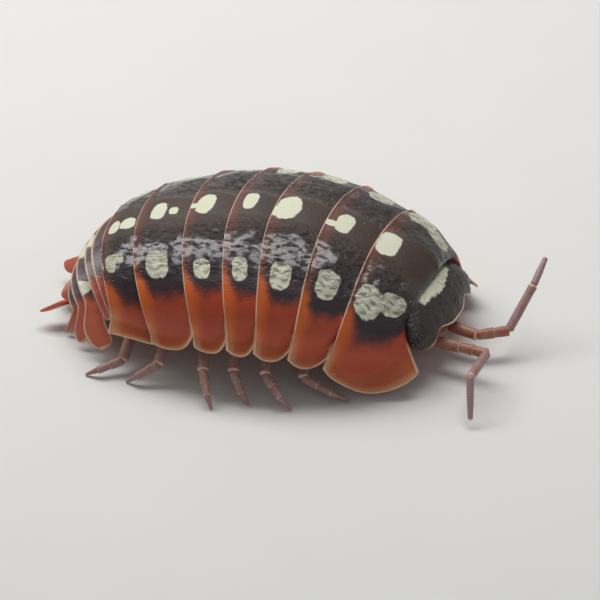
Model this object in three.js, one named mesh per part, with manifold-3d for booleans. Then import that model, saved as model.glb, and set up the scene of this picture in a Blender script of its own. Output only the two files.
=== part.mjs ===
// Pill woodlouse, a still, life-size animal: seven trunk plates, tail plates, head, feelers and legs.
// Millimetres, +Z up, head towards +X, standing on its claws at z = 0.
// The body is a row of cross-sections set square to one curved midline. The midline is given by the
// length of each plate and by how far the body is pitched and turned at each plate's rear edge.

import * as THREE from 'three';
import { mergeVertices } from 'three/addons/utils/BufferGeometryUtils.js';
import Module from 'manifold-3d';

const DEG = Math.PI / 180;

// Driving dimensions of the body

// Trunk plates from front to rear, each measured at its rear edge
const TRUNK = [
  { name: 'pereonite_1', length: 1.75, halfWidth: 3.90, height: 2.53, pitch: -18.8, yaw: -7.9, sweep: 0.40 },
  { name: 'pereonite_2', length: 1.51, halfWidth: 4.28, height: 2.59, pitch: -10.1, yaw: -5.2, sweep: 0.43 },
  { name: 'pereonite_3', length: 1.51, halfWidth: 4.46, height: 2.62, pitch: -1.1, yaw: -2.2, sweep: 0.46 },
  { name: 'pereonite_4', length: 1.21, halfWidth: 4.46, height: 2.63, pitch: 5.0, yaw: 0.0, sweep: 0.48 },
  { name: 'pereonite_5', length: 1.43, halfWidth: 4.30, height: 2.61, pitch: 8.5, yaw: 2.0, sweep: 0.51 },
  { name: 'pereonite_6', length: 1.76, halfWidth: 3.88, height: 2.50, pitch: 13.0, yaw: 3.0, sweep: 0.56 },
  { name: 'pereonite_7', length: 1.24, halfWidth: 3.34, height: 2.20, pitch: 17.0, yaw: 2.0, sweep: 0.84 },
];

// Tail plates from front to rear, which share one solid
const TAIL = [
  { length: 0.37, halfWidth: 2.84, height: 2.00, pitch: 23.0, yaw: 1.5, sweep: 0.90 },
  { length: 0.22, halfWidth: 2.70, height: 1.84, pitch: 28.0, yaw: 1.0, sweep: 0.90 },
  { length: 0.38, halfWidth: 2.54, height: 1.60, pitch: 34.0, yaw: 1.0, sweep: 0.90 },
  { length: 0.38, halfWidth: 2.30, height: 1.32, pitch: 40.0, yaw: 1.0, sweep: 0.90 },
  { length: 0.38, halfWidth: 1.96, height: 1.04, pitch: 46.0, yaw: 1.0, sweep: 0.80 },
];

// The body's front edge, where the first plate meets the head
const FRONT = { halfWidth: 2.40, height: 2.12, pitch: -34.0, yaw: -10.5, sweep: 0.36 };

const RIDE_HEIGHT = 2.20;
const MIDDLE_X = -0.60;
const MIDDLE_Y = 0.20;
const GAP = 0.30;

// Cross-section of a plate: an arch that flares outwards and drops at its lower edges
const ARCH_POWER = 2.24;
const ARCH_SHARE = 0.80;
const FLARE = 0.29;
const DROP = 0.44;
const ARCH_STEPS = 28;
const EDGE_THICKNESS = 0.30;
const FLANK_THICKNESS = 0.58;
const BELLY_HEIGHT = 0.25;
const BELLY_RISE = 0.25;

// Half width at which a rear edge has swung forwards by its sweep
const SWEEP_WIDTH = 4;

// How the plates overlap and how their lower corners are rounded
const STEP_IN = 0.13;
const LIP_DEPTH = 0.42;
const LIP_REACH = 0.26;
const CORNER = { lift: 0.62, power: 2.2 };
const FIRST_CORNER = { lift: 1.38, power: 3.2 };
const REAR_CORNER = { lift: 0.26, power: 3.2 };
const LAST_PLATE_LIFT = 0.55;

const COLOURS = {
  back: 0x3a2b2c,
  tail: 0xb25a3c,
  limb: 0x8d6a66,
  feeler: 0x9a6a5e,
  eye: 0x0b0a0c,
  mouth: 0x9b4a2e,
};

const ROUGH = { shell: 0.38, limb: 0.5, eye: 0.15 };

// Midline of the body: a table of short steps, worked out once in each direction from plate 4's rear

const PLATES = [...TRUNK, ...TAIL];
const LAST_LENGTH = 2.0;
const MIDDLE_PLATE = 3;

function stationList() {
  const s = [0];
  for (let i = MIDDLE_PLATE + 1; i < PLATES.length; i += 1) {
    s.push(s[s.length - 1] - PLATES[i].length);
  }
  for (let i = MIDDLE_PLATE; i >= 0; i -= 1) {
    s.unshift(s[0] + PLATES[i].length);
  }
  const rows = [FRONT, ...PLATES];
  return rows.map((row, i) => ({ ...row, s: s[i] }));
}

const STATIONS = stationList();

function sizeAt(key, s) {
  const last = STATIONS.length - 1;
  if (s >= STATIONS[0].s) return STATIONS[0][key];
  if (s <= STATIONS[last].s) return STATIONS[last][key];
  let i = 0;
  while (STATIONS[i + 1].s > s) i += 1;
  const share = (STATIONS[i].s - s) / (STATIONS[i].s - STATIONS[i + 1].s);
  return THREE.MathUtils.lerp(STATIONS[i][key], STATIONS[i + 1][key], share);
}

function axesAt(s) {
  const pitch = sizeAt('pitch', s) * DEG;
  const yaw = sizeAt('yaw', s) * DEG;
  const forward = new THREE.Vector3(
    Math.cos(pitch) * Math.cos(yaw),
    Math.cos(pitch) * Math.sin(yaw),
    Math.sin(pitch),
  );
  const left = new THREE.Vector3(-Math.sin(yaw), Math.cos(yaw), 0);
  const up = new THREE.Vector3().crossVectors(forward, left);
  return { forward, left, up };
}

const WALK_STEP = 0.05;

function walk(direction, reach) {
  const points = [new THREE.Vector3(MIDDLE_X, MIDDLE_Y, RIDE_HEIGHT)];
  for (let i = 0; i < Math.ceil(reach / WALK_STEP); i += 1) {
    const { forward } = axesAt(direction * (i + 0.5) * WALK_STEP);
    points.push(points[i].clone().addScaledVector(forward, direction * WALK_STEP));
  }
  return points;
}

const AHEAD = walk(1, STATIONS[0].s + 2);
const BEHIND = walk(-1, -STATIONS[STATIONS.length - 1].s + LAST_LENGTH);

function midline(s) {
  const points = s >= 0 ? AHEAD : BEHIND;
  const place = Math.abs(s) / WALK_STEP;
  const i = Math.min(Math.floor(place), points.length - 2);
  return points[i].clone().lerp(points[i + 1], place - i);
}

// A point of the body from its place along the midline, sideways to the left and upwards
function bodyPoint(s, y, z) {
  const { left, up } = axesAt(s);
  return midline(s).addScaledVector(left, y).addScaledVector(up, z);
}

// Cross-section rings

// One ring of a plate: the arch from the left edge over the back to the right one, then the underside,
// which stops short of the plate's rear edge
function ringPoints({ halfWidth, height, lift, inset, wrap = 0, short = 0 }) {
  const ring = [];
  const w = halfWidth - inset;
  const h = height - inset;
  for (let i = 0; i <= ARCH_STEPS; i += 1) {
    const t = 1 - (2 * i) / ARCH_STEPS;
    const angle = Math.min(Math.abs(t) / ARCH_SHARE, 1) * 90 * DEG;
    const past = Math.max(Math.abs(t) - ARCH_SHARE, 0) / (1 - ARCH_SHARE);
    const y = w * Math.sin(angle) ** (2 / ARCH_POWER) + FLARE * past;
    const arch = h * Math.max(Math.cos(angle), 0) ** (2 / ARCH_POWER);
    const z = arch - (DROP - lift) * past + lift * (1 - Math.min(arch / h, 1)) * (1 - past);
    ring.push({ y: Math.sign(t) * y, z, ahead: wrap * Math.abs(t) ** 4 });
  }
  const edge = w + FLARE;
  const rise = BELLY_HEIGHT + BELLY_RISE * inset;
  const under = [
    { y: edge - EDGE_THICKNESS, z: lift - DROP, back: 0 },
    { y: w - FLANK_THICKNESS, z: lift + 0.02, back: short },
    { y: w - FLANK_THICKNESS - 0.35, z: lift * 0.5 + rise + 0.12, back: short },
    { y: w - FLANK_THICKNESS - 1.1, z: rise, back: short },
  ];
  const side = (sign) => under.map(({ y, z, back }) => (
    { y: sign * y, z, ahead: wrap * (y / edge) ** 4 + back }
  ));
  const middle = { y: 0, z: rise - 0.1, ahead: short };
  return [...ring, ...side(-1), middle, ...side(1).reverse()];
}

// How far the rear edge of a plate swings forwards at the sides
function sweepAt(s, y) {
  return sizeAt('sweep', s) * (y / SWEEP_WIDTH) ** 2;
}

function placeRing(s, ring) {
  return ring.map(({ y, z, ahead }) => bodyPoint(s + sweepAt(s, y) + ahead, y, z));
}

// A closed solid through rings of equal count, listed from front to rear, with flat-laid ends
function loft(rings, endOutline) {
  const count = rings[0].length;
  const vertices = rings.flat();
  const indices = [];
  for (let r = 0; r + 1 < rings.length; r += 1) {
    for (let i = 0; i < count; i += 1) {
      const j = (i + 1) % count;
      const a = r * count + i;
      const b = r * count + j;
      indices.push(a, b, a + count, b, b + count, a + count);
    }
  }
  const outline = endOutline.map(({ y, z }) => new THREE.Vector2(y, z));
  const clockwise = THREE.ShapeUtils.area(outline) < 0;
  const faces = THREE.ShapeUtils.triangulateShape(outline, []);
  const rear = (rings.length - 1) * count;
  for (const face of faces) {
    const [a, b, c] = clockwise ? [...face].reverse() : face;
    indices.push(a, c, b);
    indices.push(rear + a, rear + b, rear + c);
  }
  return closedGeometry(vertices, indices);
}

function closedGeometry(vertices, indices) {
  const geometry = new THREE.BufferGeometry();
  const places = vertices.flatMap((v) => v.toArray());
  geometry.setAttribute('position', new THREE.Float32BufferAttribute(places, 3));
  geometry.setIndex(indices);
  return outwards(geometry);
}

// Turns a closed surface right side out
function outwards(geometry) {
  const p = geometry.attributes.position;
  const index = geometry.index.array;
  const [a, b, c] = [new THREE.Vector3(), new THREE.Vector3(), new THREE.Vector3()];
  let volume = 0;
  for (let i = 0; i < index.length; i += 3) {
    a.fromBufferAttribute(p, index[i]);
    b.fromBufferAttribute(p, index[i + 1]);
    c.fromBufferAttribute(p, index[i + 2]);
    volume += a.dot(b.cross(c));
  }
  if (volume < 0) {
    for (let i = 0; i < index.length; i += 3) {
      [index[i], index[i + 1]] = [index[i + 1], index[i]];
    }
  }
  geometry.computeVertexNormals();
  return geometry;
}

const solids = await Module();
solids.setup();

function toSolid(geometry) {
  const bare = geometry.clone();
  bare.deleteAttribute('normal');
  bare.deleteAttribute('uv');
  const merged = mergeVertices(bare, 1e-5);
  const mesh = new solids.Mesh({
    numProp: 3,
    vertProperties: new Float32Array(merged.attributes.position.array),
    triVerts: new Uint32Array(merged.index.array),
  });
  return new solids.Manifold(mesh);
}

function fromSolid(solid) {
  const pieces = solid.decompose();
  pieces.sort((one, other) => other.volume() - one.volume());
  const { vertProperties, triVerts } = pieces[0].getMesh();
  const geometry = new THREE.BufferGeometry();
  geometry.setAttribute('position', new THREE.BufferAttribute(new Float32Array(vertProperties), 3));
  geometry.setIndex(new THREE.BufferAttribute(new Uint32Array(triVerts), 1));
  geometry.computeVertexNormals();
  return geometry;
}

// Edges shorter than this are merged away after a join
const FINE = 0.01;

function joined(geometries) {
  const whole = geometries.map(toSolid).reduce((sum, piece) => sum.add(piece));
  return fromSolid(whole.simplify(FINE));
}

// The whole animal is moved so that its box is centred on the origin
const BOX_CENTRE_X = 0.92;

const group = new THREE.Group();
group.position.x = -BOX_CENTRE_X;

function addNode(name, geometry, color, roughness) {
  const mesh = new THREE.Mesh(geometry, new THREE.MeshStandardMaterial({ color, roughness, metalness: 0 }));
  mesh.name = name;
  group.add(mesh);
}

// Trunk plates

const PLATE_RINGS = [0.1, 0.35, 0.65, 0.88];
const PLATE_BULGE = 0.06;
const BELLY_STOP = 0.28;
const BELLY_SLANT = 0.2;
const EDGE_TUCK = 0.03;

// How far a plate's lower edge is lifted to round its corners; the last one rises all the way back
function cornerLift(number, share) {
  if (number === TRUNK.length - 1) return LAST_PLATE_LIFT * share;
  const front = number === 0 ? FIRST_CORNER : CORNER;
  const ahead = Math.max(1 - 2 * share, 0);
  const behind = Math.max(2 * share - 1, 0);
  return front.lift * ahead ** front.power + REAR_CORNER.lift * behind ** REAR_CORNER.power;
}

// The first plate's lower front corners reach forwards round the head, and the last one's rear corners back
function wrapAt(number, share) {
  if (number === 0) return 1.42 * (1 - share) ** 2;
  return number === TRUNK.length - 1 ? -0.55 * share ** 2 : 0;
}

function plateRing(number, share, inset) {
  const front = STATIONS[number];
  const rear = STATIONS[number + 1];
  const isFirst = number === 0;
  const taper = isFirst ? Math.sqrt(1 - (1 - share) ** 2) : share;
  const bulge = PLATE_BULGE * Math.sin(Math.PI * share);
  const tuck = isFirst ? 0 : STEP_IN * (1 - share) ** 2;
  const behind = (1 - share) * (front.s - rear.s - (isFirst ? 0 : GAP));
  return ringPoints({
    halfWidth: THREE.MathUtils.lerp(front.halfWidth, rear.halfWidth, taper) + bulge - tuck,
    height: THREE.MathUtils.lerp(front.height, rear.height, isFirst ? taper : share) + bulge - tuck,
    lift: cornerLift(number, share),
    inset,
    wrap: wrapAt(number, share),
    short: inset < LIP_DEPTH ? Math.max(BELLY_STOP + BELLY_SLANT * (1 - share) - behind, 0) : 0,
  });
}

// The ends of all plates are split into the same triangles, so that two facing ends stay parallel
const PLATE_END = plateRing(MIDDLE_PLATE, 1, LIP_DEPTH);

function plateSolid(number) {
  const isFirst = number === 0;
  const front = STATIONS[number].s;
  const rear = STATIONS[number + 1].s;
  const frontEdge = isFirst ? front : front - GAP;
  const span = frontEdge - rear;
  const nose = plateRing(number, 0, LIP_DEPTH);
  const rings = [placeRing(frontEdge + (isFirst ? 0 : LIP_REACH), nose)];
  rings.push(placeRing(frontEdge, plateRing(number, 0, EDGE_TUCK)));
  for (const share of PLATE_RINGS) {
    rings.push(placeRing(frontEdge - span * share, plateRing(number, share, 0)));
  }
  rings.push(placeRing(rear, plateRing(number, 1, 0)));
  rings.push(placeRing(rear + LIP_REACH, plateRing(number, 1, LIP_DEPTH)));
  return loft(rings, PLATE_END);
}

// Tail plates: each steps out from under the one before it

const TAIL_STEP = 0.12;
const STEP_RUN = 0.05;
const TAIL_LIFT = 0.55;
const TAIL_TUCK = 0.1;
const TAIL_END_REACH = 0.2;

function tailRing(station, inset) {
  return ringPoints({ halfWidth: station.halfWidth, height: station.height, lift: TAIL_LIFT, inset });
}

function tailCore() {
  const first = TRUNK.length;
  const start = STATIONS[first];
  const heel = tailRing({ halfWidth: TAIL[0].halfWidth, height: start.height - TAIL_TUCK }, LIP_DEPTH);
  const rings = [placeRing(start.s - GAP + LIP_REACH, heel)];
  for (let i = first; i + 1 < STATIONS.length; i += 1) {
    const front = i === first ? { ...STATIONS[i + 1], s: start.s - GAP + STEP_RUN } : STATIONS[i];
    rings.push(placeRing(front.s - STEP_RUN, tailRing(front, TAIL_STEP)));
    rings.push(placeRing(STATIONS[i + 1].s, tailRing(STATIONS[i + 1], 0)));
  }
  const last = STATIONS[STATIONS.length - 1];
  rings.push(placeRing(last.s + TAIL_END_REACH, tailRing(last, LIP_DEPTH)));
  return loft(rings, PLATE_END);
}

// A flat finger at each side of tail plates 3 to 5, as long and wide as named here
const FINGERS = [
  { plate: 3, length: 1.92, width: 0.84, swing: 0.30 },
  { plate: 4, length: 1.52, width: 0.66, swing: -0.30 },
  { plate: 5, length: 0.98, width: 0.58, swing: -0.48 },
];
const FINGER = {
  thickness: 0.5, tipThickness: 0.3, rootWide: 0.8, lowWide: 1.08, tipWide: 0.72,
  rootIn: 0.42, rootZ: 0.82, outwards: 0.66, fall: 0.66, curl: 0.12, faceOut: 0.8, faceUp: 0.6,
};
const FINGER_STEPS = 4;

function fingerSolid({ plate, length, width, swing }, side) {
  const front = STATIONS[TRUNK.length + plate - 1];
  const rear = STATIONS[TRUNK.length + plate];
  const s = (front.s + rear.s) / 2;
  const rings = [];
  for (let i = 0; i <= FINGER_STEPS; i += 1) {
    const share = i / FINGER_STEPS;
    const thin = THREE.MathUtils.lerp(FINGER.thickness, FINGER.tipThickness, share) / 2;
    const bell = share === 1 ? FINGER.tipWide : THREE.MathUtils.lerp(FINGER.rootWide, FINGER.lowWide, share);
    const wide = (width / 2) * bell;
    const y = rear.halfWidth - thin - FINGER.rootIn + FINGER.outwards * share * length;
    const z = FINGER.rootZ - length * share * (FINGER.fall + FINGER.curl * share);
    const along = s + swing * share * share;
    const corners = [[wide, thin], [wide, -thin], [-wide, -thin], [-wide, thin]];
    rings.push(corners.map(([ds, out]) => (
      bodyPoint(along + ds, side * (y + out * FINGER.faceOut), z + out * FINGER.faceUp)
    )));
  }
  return loft(rings, squareOutline());
}

function squareOutline() {
  return [[1, 1], [1, -1], [-1, -1], [-1, 1]].map(([y, z]) => ({ y, z }));
}

function tailSolid() {
  const pieces = [tailCore()];
  for (const side of [-1, 1]) {
    FINGERS.forEach((finger) => pieces.push(fingerSolid(finger, side)));
  }
  return joined(pieces);
}

// Tail end: a blunt triangular plate between two flat blades

const LAST = STATIONS[STATIONS.length - 1];
const TELSON = {
  length: 0.66, rootHalf: 0.56, tipHalf: 0.32, top: 0.98, tipTop: 0.92,
  bottom: 0.34, tipBottom: 0.52, crown: 0.55, shoulder: 0.12,
};
const BLADE = {
  length: 0.75, width: 0.78, thickness: 0.42, rootY: 1.20, rootZ: 0.76,
  splay: 0.20, rise: 0.42, narrowing: 0.35, thinning: 0.35, tilt: 36,
};
const END_STEPS = 3;

function telsonSolid() {
  const rings = [];
  for (let i = 0; i <= END_STEPS; i += 1) {
    const share = i / END_STEPS;
    const half = THREE.MathUtils.lerp(TELSON.rootHalf, TELSON.tipHalf, share);
    const top = THREE.MathUtils.lerp(TELSON.top, TELSON.tipTop, share * share);
    const bottom = THREE.MathUtils.lerp(TELSON.bottom, TELSON.tipBottom, share);
    const s = LAST.s - GAP - TELSON.length * share;
    const outline = [
      [1, top - TELSON.shoulder], [TELSON.crown, top], [-TELSON.crown, top], [-1, top - TELSON.shoulder],
      [-1, bottom], [1, bottom],
    ];
    rings.push(outline.map(([side, z]) => bodyPoint(s, half * side, z)));
  }
  const end = [[1, 0.8], [TELSON.crown, 1], [-TELSON.crown, 1], [-1, 0.8], [-1, 0], [1, 0]];
  return loft(rings, end.map(([y, z]) => ({ y, z })));
}

function bladeSolid(side) {
  const rings = [];
  const [across, upwards] = [Math.cos(BLADE.tilt * DEG), Math.sin(BLADE.tilt * DEG)];
  for (let i = 0; i <= END_STEPS; i += 1) {
    const share = i / END_STEPS;
    const s = LAST.s - GAP - BLADE.length * share;
    const y = BLADE.rootY + BLADE.splay * share;
    const z = BLADE.rootZ + BLADE.rise * share;
    const w = (BLADE.width / 2) * (1 - BLADE.narrowing * share);
    const t = (BLADE.thickness / 2) * (1 - BLADE.thinning * share);
    const corners = [[w, t], [w, -t], [-w, -t], [-w, t]];
    rings.push(corners.map(([wide, thick]) => bodyPoint(
      s,
      side * (y + wide * across - thick * upwards),
      z + wide * upwards + thick * across,
    )));
  }
  return loft(rings, squareOutline());
}

// Head: oval rings square to a line that runs from its rear rim down to the face

const HEAD = {
  place: new THREE.Vector3(6.27, -0.48, 2.61),
  pitch: -48,
  yaw: -14,
  roll: -6,
};
const HEAD_RINGS = [
  { ahead: -0.45, half: 1.25, top: -0.50, bottom: -1.32 },
  { ahead: -0.02, half: 1.85, top: -0.06, bottom: -1.40 },
  { ahead: 0.15, half: 2.05, top: 0.02, bottom: -1.42 },
  { ahead: 0.55, half: 2.28, top: 0.06, bottom: -1.42 },
  { ahead: 1.00, half: 2.28, top: 0.04, bottom: -1.40 },
  { ahead: 1.36, half: 1.95, top: -0.03, bottom: -1.34 },
  { ahead: 1.50, half: 1.70, top: -0.10, bottom: -1.26 },
  { ahead: 1.38, half: 1.50, top: -0.34, bottom: -1.18 },
  { ahead: 1.62, half: 1.05, top: -0.50, bottom: -1.14 },
];
const HEAD_SIDES = 24;
const HEAD_POWER = 2.6;
const CROWN_SHARE = 0.34;

// The ring where the face lies sunk behind the front rim
const FACE_RING = 7;

function headAxes() {
  const pitch = HEAD.pitch * DEG;
  const yaw = HEAD.yaw * DEG;
  const ahead = new THREE.Vector3(
    Math.cos(pitch) * Math.cos(yaw),
    Math.cos(pitch) * Math.sin(yaw),
    Math.sin(pitch),
  );
  const left = new THREE.Vector3(-Math.sin(yaw), Math.cos(yaw), 0);
  const up = new THREE.Vector3().crossVectors(ahead, left);
  left.applyAxisAngle(ahead, HEAD.roll * DEG);
  up.applyAxisAngle(ahead, HEAD.roll * DEG);
  return { ahead, left, up };
}

const HEAD_AXES = headAxes();

function headPoint(ahead, across, up) {
  return HEAD.place.clone()
    .addScaledVector(HEAD_AXES.ahead, ahead)
    .addScaledVector(HEAD_AXES.left, across)
    .addScaledVector(HEAD_AXES.up, up);
}

function superCircle(count, power) {
  return Array.from({ length: count }, (_, i) => {
    const angle = (2 * Math.PI * i) / count;
    const x = Math.sign(Math.cos(angle)) * Math.abs(Math.cos(angle)) ** (2 / power);
    const y = Math.sign(Math.sin(angle)) * Math.abs(Math.sin(angle)) ** (2 / power);
    return { y: x, z: y };
  });
}

// The head, or with room greater than zero the space that it needs
function headSolid(room) {
  const circle = superCircle(HEAD_SIDES, HEAD_POWER);
  const used = HEAD_RINGS.filter((_, i) => room === 0 || i !== FACE_RING);
  const rings = used.map(({ ahead, half, top, bottom }, i) => {
    const centre = THREE.MathUtils.lerp(top, bottom, CROWN_SHARE);
    const isLast = i === used.length - 1;
    const forward = ahead + (isLast ? room : 0) - (i === 0 ? room : 0);
    return circle.map(({ y, z }) => {
      const reach = (z > 0 ? top - centre : centre - bottom) + room;
      return headPoint(forward, (half + room) * y, centre + reach * z);
    });
  });
  return loft(rings, circle);
}

const EYE = { ahead: 0.86, across: 2.02, up: -0.50, long: 0.36, wide: 0.30, high: 0.30 };
const MOUTH = { ahead: 0.95, across: 0, up: -1.97, long: 0.55, wide: 0.75, high: 0.25 };
const EYE_ROOM = 0.22;
const BALL_SIDES = 12;
const BALL_RINGS = 8;

// An oval lump in line with the head, grown on all sides by the room
function headLump({ ahead, across, up, long, wide, high }, side, room) {
  const geometry = new THREE.SphereGeometry(1, BALL_SIDES, BALL_RINGS);
  const basis = new THREE.Matrix4().makeBasis(
    HEAD_AXES.ahead.clone().multiplyScalar(long + room),
    HEAD_AXES.left.clone().multiplyScalar(wide + room),
    HEAD_AXES.up.clone().multiplyScalar(high + room),
  );
  basis.setPosition(headPoint(ahead, side * across, up));
  geometry.deleteAttribute('normal');
  geometry.deleteAttribute('uv');
  return outwards(mergeVertices(geometry.applyMatrix4(basis), 1e-4));
}

// Limbs: closed tubes through a row of points, round in section, flat at both ends

const FORWARD = new THREE.Vector3(1, 0, 0);
const SKYWARD = new THREE.Vector3(0, 0, 1);
const DOWNWARD = new THREE.Vector3(0, 0, -1);
const LIMB_SIDES = 8;

const between = (a, b, share = 0.5) => a.clone().lerp(b, share);

// The last rings of a leg, as many as told, lie level so that its claw stands flat
function limbSolid(points, radii, levelRings = 0) {
  const circle = superCircle(LIMB_SIDES, 2);
  const across = levelRings > 0 ? FORWARD : SKYWARD;
  const rings = points.map((point, i) => {
    const before = points[Math.max(i - 1, 0)];
    const after = points[Math.min(i + 1, points.length - 1)];
    const isLevel = i >= points.length - levelRings;
    const along = isLevel ? DOWNWARD : after.clone().sub(before).normalize();
    const side = new THREE.Vector3().crossVectors(along, across).normalize();
    const out = new THREE.Vector3().crossVectors(side, along);
    return circle.map(({ y, z }) => point.clone()
      .addScaledVector(side, radii[i] * y)
      .addScaledVector(out, radii[i] * z));
  });
  return loft(rings, circle);
}

// Where each claw stands: front leg first
const FEET = {
  right: [
    [5.70, -2.95], [4.08, -4.25], [2.19, -5.03], [0.65, -4.95],
    [-0.55, -5.40], [-3.90, -4.35], [-5.45, -4.15],
  ],
  left: [
    [5.60, 2.05], [4.60, 5.00], [1.60, 5.35], [0.10, 5.45],
    [-1.90, 5.30], [-3.30, 4.75], [-5.30, 4.00],
  ],
};

// Places along a leg: root and hip under the plate, knee below its rim, then down to the claw
const LEG = {
  rootY: 0.50, rootZ: -0.10, hipShare: 0.80, hipZ: -0.52, rimOut: 0.10, rimZ: -0.98,
  kneeIn: 0.18, shin: 0.62, bowOut: 0.16, bowUp: 0.12, heelShare: 0.22, heelZ: 0.26,
};
const LEG_RADII = [0.26, 0.27, 0.26, 0.26, 0.25, 0.25, 0.22, 0.16, 0.13];

function legSolid(number, side) {
  const s = (STATIONS[number].s + STATIONS[number + 1].s) / 2;
  const width = sizeAt('halfWidth', s);
  const [footX, footY] = (side < 0 ? FEET.right : FEET.left)[number];
  const foot = new THREE.Vector3(footX, footY, 0);
  const root = bodyPoint(s, side * width * LEG.rootY, LEG.rootZ);
  const hip = bodyPoint(s, side * width * LEG.hipShare, LEG.hipZ);
  const knee = bodyPoint(s, side * (width + LEG.rimOut), LEG.rimZ).lerp(foot, LEG.kneeIn);
  const ankle = between(knee, foot, LEG.shin).add(new THREE.Vector3(0, side * LEG.bowOut, LEG.bowUp));
  const heel = between(foot, ankle, LEG.heelShare).setZ(LEG.heelZ);
  const points = [root, between(root, hip), hip, between(hip, knee), knee, between(knee, ankle)];
  return limbSolid([...points, ankle, heel, foot], LEG_RADII, 2);
}

// Feelers: a stout base of four articles, one long article, and the slender end
const FEELERS = {
  right: [
    [6.86, -1.74, 1.00], [7.53, -1.93, 1.04], [8.50, -2.25, 1.10],
    [8.30, -4.00, 1.35], [8.45, -4.95, 0.32],
  ],
  left: [
    [7.12, -0.76, 0.98], [7.94, -1.05, 0.96], [8.95, -0.65, 0.97],
    [9.61, 0.77, 2.00], [9.85, 1.75, 2.45],
  ],
};
const ELBOW_GAP = 0.56;
const WRIST_GAP = 0.50;

function feelerSolids(side) {
  const [base, ring, elbow, wrist, tip] = FEELERS[side].map((p) => new THREE.Vector3(...p));
  const past = (a, b, gap) => a.clone().add(b.clone().sub(a).setLength(gap));
  const start = past(elbow, wrist, ELBOW_GAP);
  const end = past(wrist, tip, WRIST_GAP);
  const stout = [base, between(base, ring), ring, between(ring, elbow), elbow];
  return {
    base: limbSolid(stout, [0.25, 0.27, 0.25, 0.26, 0.24]),
    middle: limbSolid([start, between(start, wrist), wrist], [0.24, 0.25, 0.23]),
    tip: limbSolid([end, between(end, tip), tip], [0.20, 0.20, 0.10]),
  };
}

// The parts, from head to tail

const bareHead = toSolid(headSolid(0));
const sockets = [-1, 1].map((side) => toSolid(headLump(EYE, side, EYE_ROOM)));
const head = fromSolid(sockets.reduce((rest, socket) => rest.subtract(socket), bareHead));
addNode('head', head, COLOURS.back, ROUGH.shell);
addNode('mouthparts', headLump(MOUTH, 1, 0), COLOURS.mouth, ROUGH.limb);

for (const [name, side] of [['left', 1], ['right', -1]]) {
  addNode(`eye_${name}`, headLump(EYE, side, 0), COLOURS.eye, ROUGH.eye);
  const feeler = feelerSolids(name);
  Object.entries(feeler).forEach(([length, geometry]) => {
    addNode(`antenna_${name}_${length}`, geometry, COLOURS.feeler, ROUGH.limb);
  });
  TRUNK.forEach((_, number) => {
    addNode(`leg_${name}_${number + 1}`, legSolid(number, side), COLOURS.limb, ROUGH.limb);
  });
  addNode(`uropod_${name}`, bladeSolid(side), COLOURS.tail, ROUGH.shell);
}

const headRoom = toSolid(headSolid(GAP));
TRUNK.forEach(({ name }, number) => {
  const plate = plateSolid(number);
  const geometry = number === 0 ? fromSolid(toSolid(plate).subtract(headRoom)) : plate;
  addNode(name, geometry, COLOURS.back, ROUGH.shell);
});
addNode('pleon', tailSolid(), COLOURS.tail, ROUGH.shell);
addNode('telson', telsonSolid(), COLOURS.tail, ROUGH.shell);

export default group;
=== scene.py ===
import math
import random

import bpy
from bpy.props import FloatProperty, FloatVectorProperty, IntProperty, PointerProperty
from mathutils import Matrix, Vector, noise


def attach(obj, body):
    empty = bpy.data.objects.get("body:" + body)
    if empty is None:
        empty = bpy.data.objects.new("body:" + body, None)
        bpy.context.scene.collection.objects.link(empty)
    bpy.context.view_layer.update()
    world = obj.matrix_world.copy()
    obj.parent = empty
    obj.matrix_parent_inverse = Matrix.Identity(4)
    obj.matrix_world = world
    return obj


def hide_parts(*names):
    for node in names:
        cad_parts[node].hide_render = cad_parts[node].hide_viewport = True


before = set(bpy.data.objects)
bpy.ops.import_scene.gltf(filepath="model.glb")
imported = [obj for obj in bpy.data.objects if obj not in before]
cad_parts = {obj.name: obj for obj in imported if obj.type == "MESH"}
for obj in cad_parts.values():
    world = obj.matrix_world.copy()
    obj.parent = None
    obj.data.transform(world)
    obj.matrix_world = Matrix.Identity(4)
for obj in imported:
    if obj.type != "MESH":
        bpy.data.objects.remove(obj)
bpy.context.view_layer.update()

bl_info = {
    "name": "Spotted pill woodlouse",
    "version": (1, 0, 0),
    "blender": (4, 5, 0),
    "location": "3D View > Sidebar > Woodlouse",
    "description": "Life-size spotted pill woodlouse: shell plates, head, feelers, legs and a plain stage",
    "category": "Object",
}

MM = 0.001
ROOT = "root"
SIDES = {"left": 1, "right": -1}

# Trunk plates from front to rear, measured at their rear edges, in millimetres and degrees
TRUNK = [
    {"length": 1.75, "half": 3.90, "height": 2.53, "pitch": -18.8, "yaw": -7.9, "sweep": 0.40},
    {"length": 1.51, "half": 4.28, "height": 2.59, "pitch": -10.1, "yaw": -5.2, "sweep": 0.43},
    {"length": 1.51, "half": 4.46, "height": 2.62, "pitch": -1.1, "yaw": -2.2, "sweep": 0.46},
    {"length": 1.21, "half": 4.46, "height": 2.63, "pitch": 5.0, "yaw": 0.0, "sweep": 0.48},
    {"length": 1.43, "half": 4.30, "height": 2.61, "pitch": 8.5, "yaw": 2.0, "sweep": 0.51},
    {"length": 1.76, "half": 3.88, "height": 2.50, "pitch": 13.0, "yaw": 3.0, "sweep": 0.56},
    {"length": 1.24, "half": 3.34, "height": 2.20, "pitch": 17.0, "yaw": 2.0, "sweep": 0.84},
]

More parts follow.
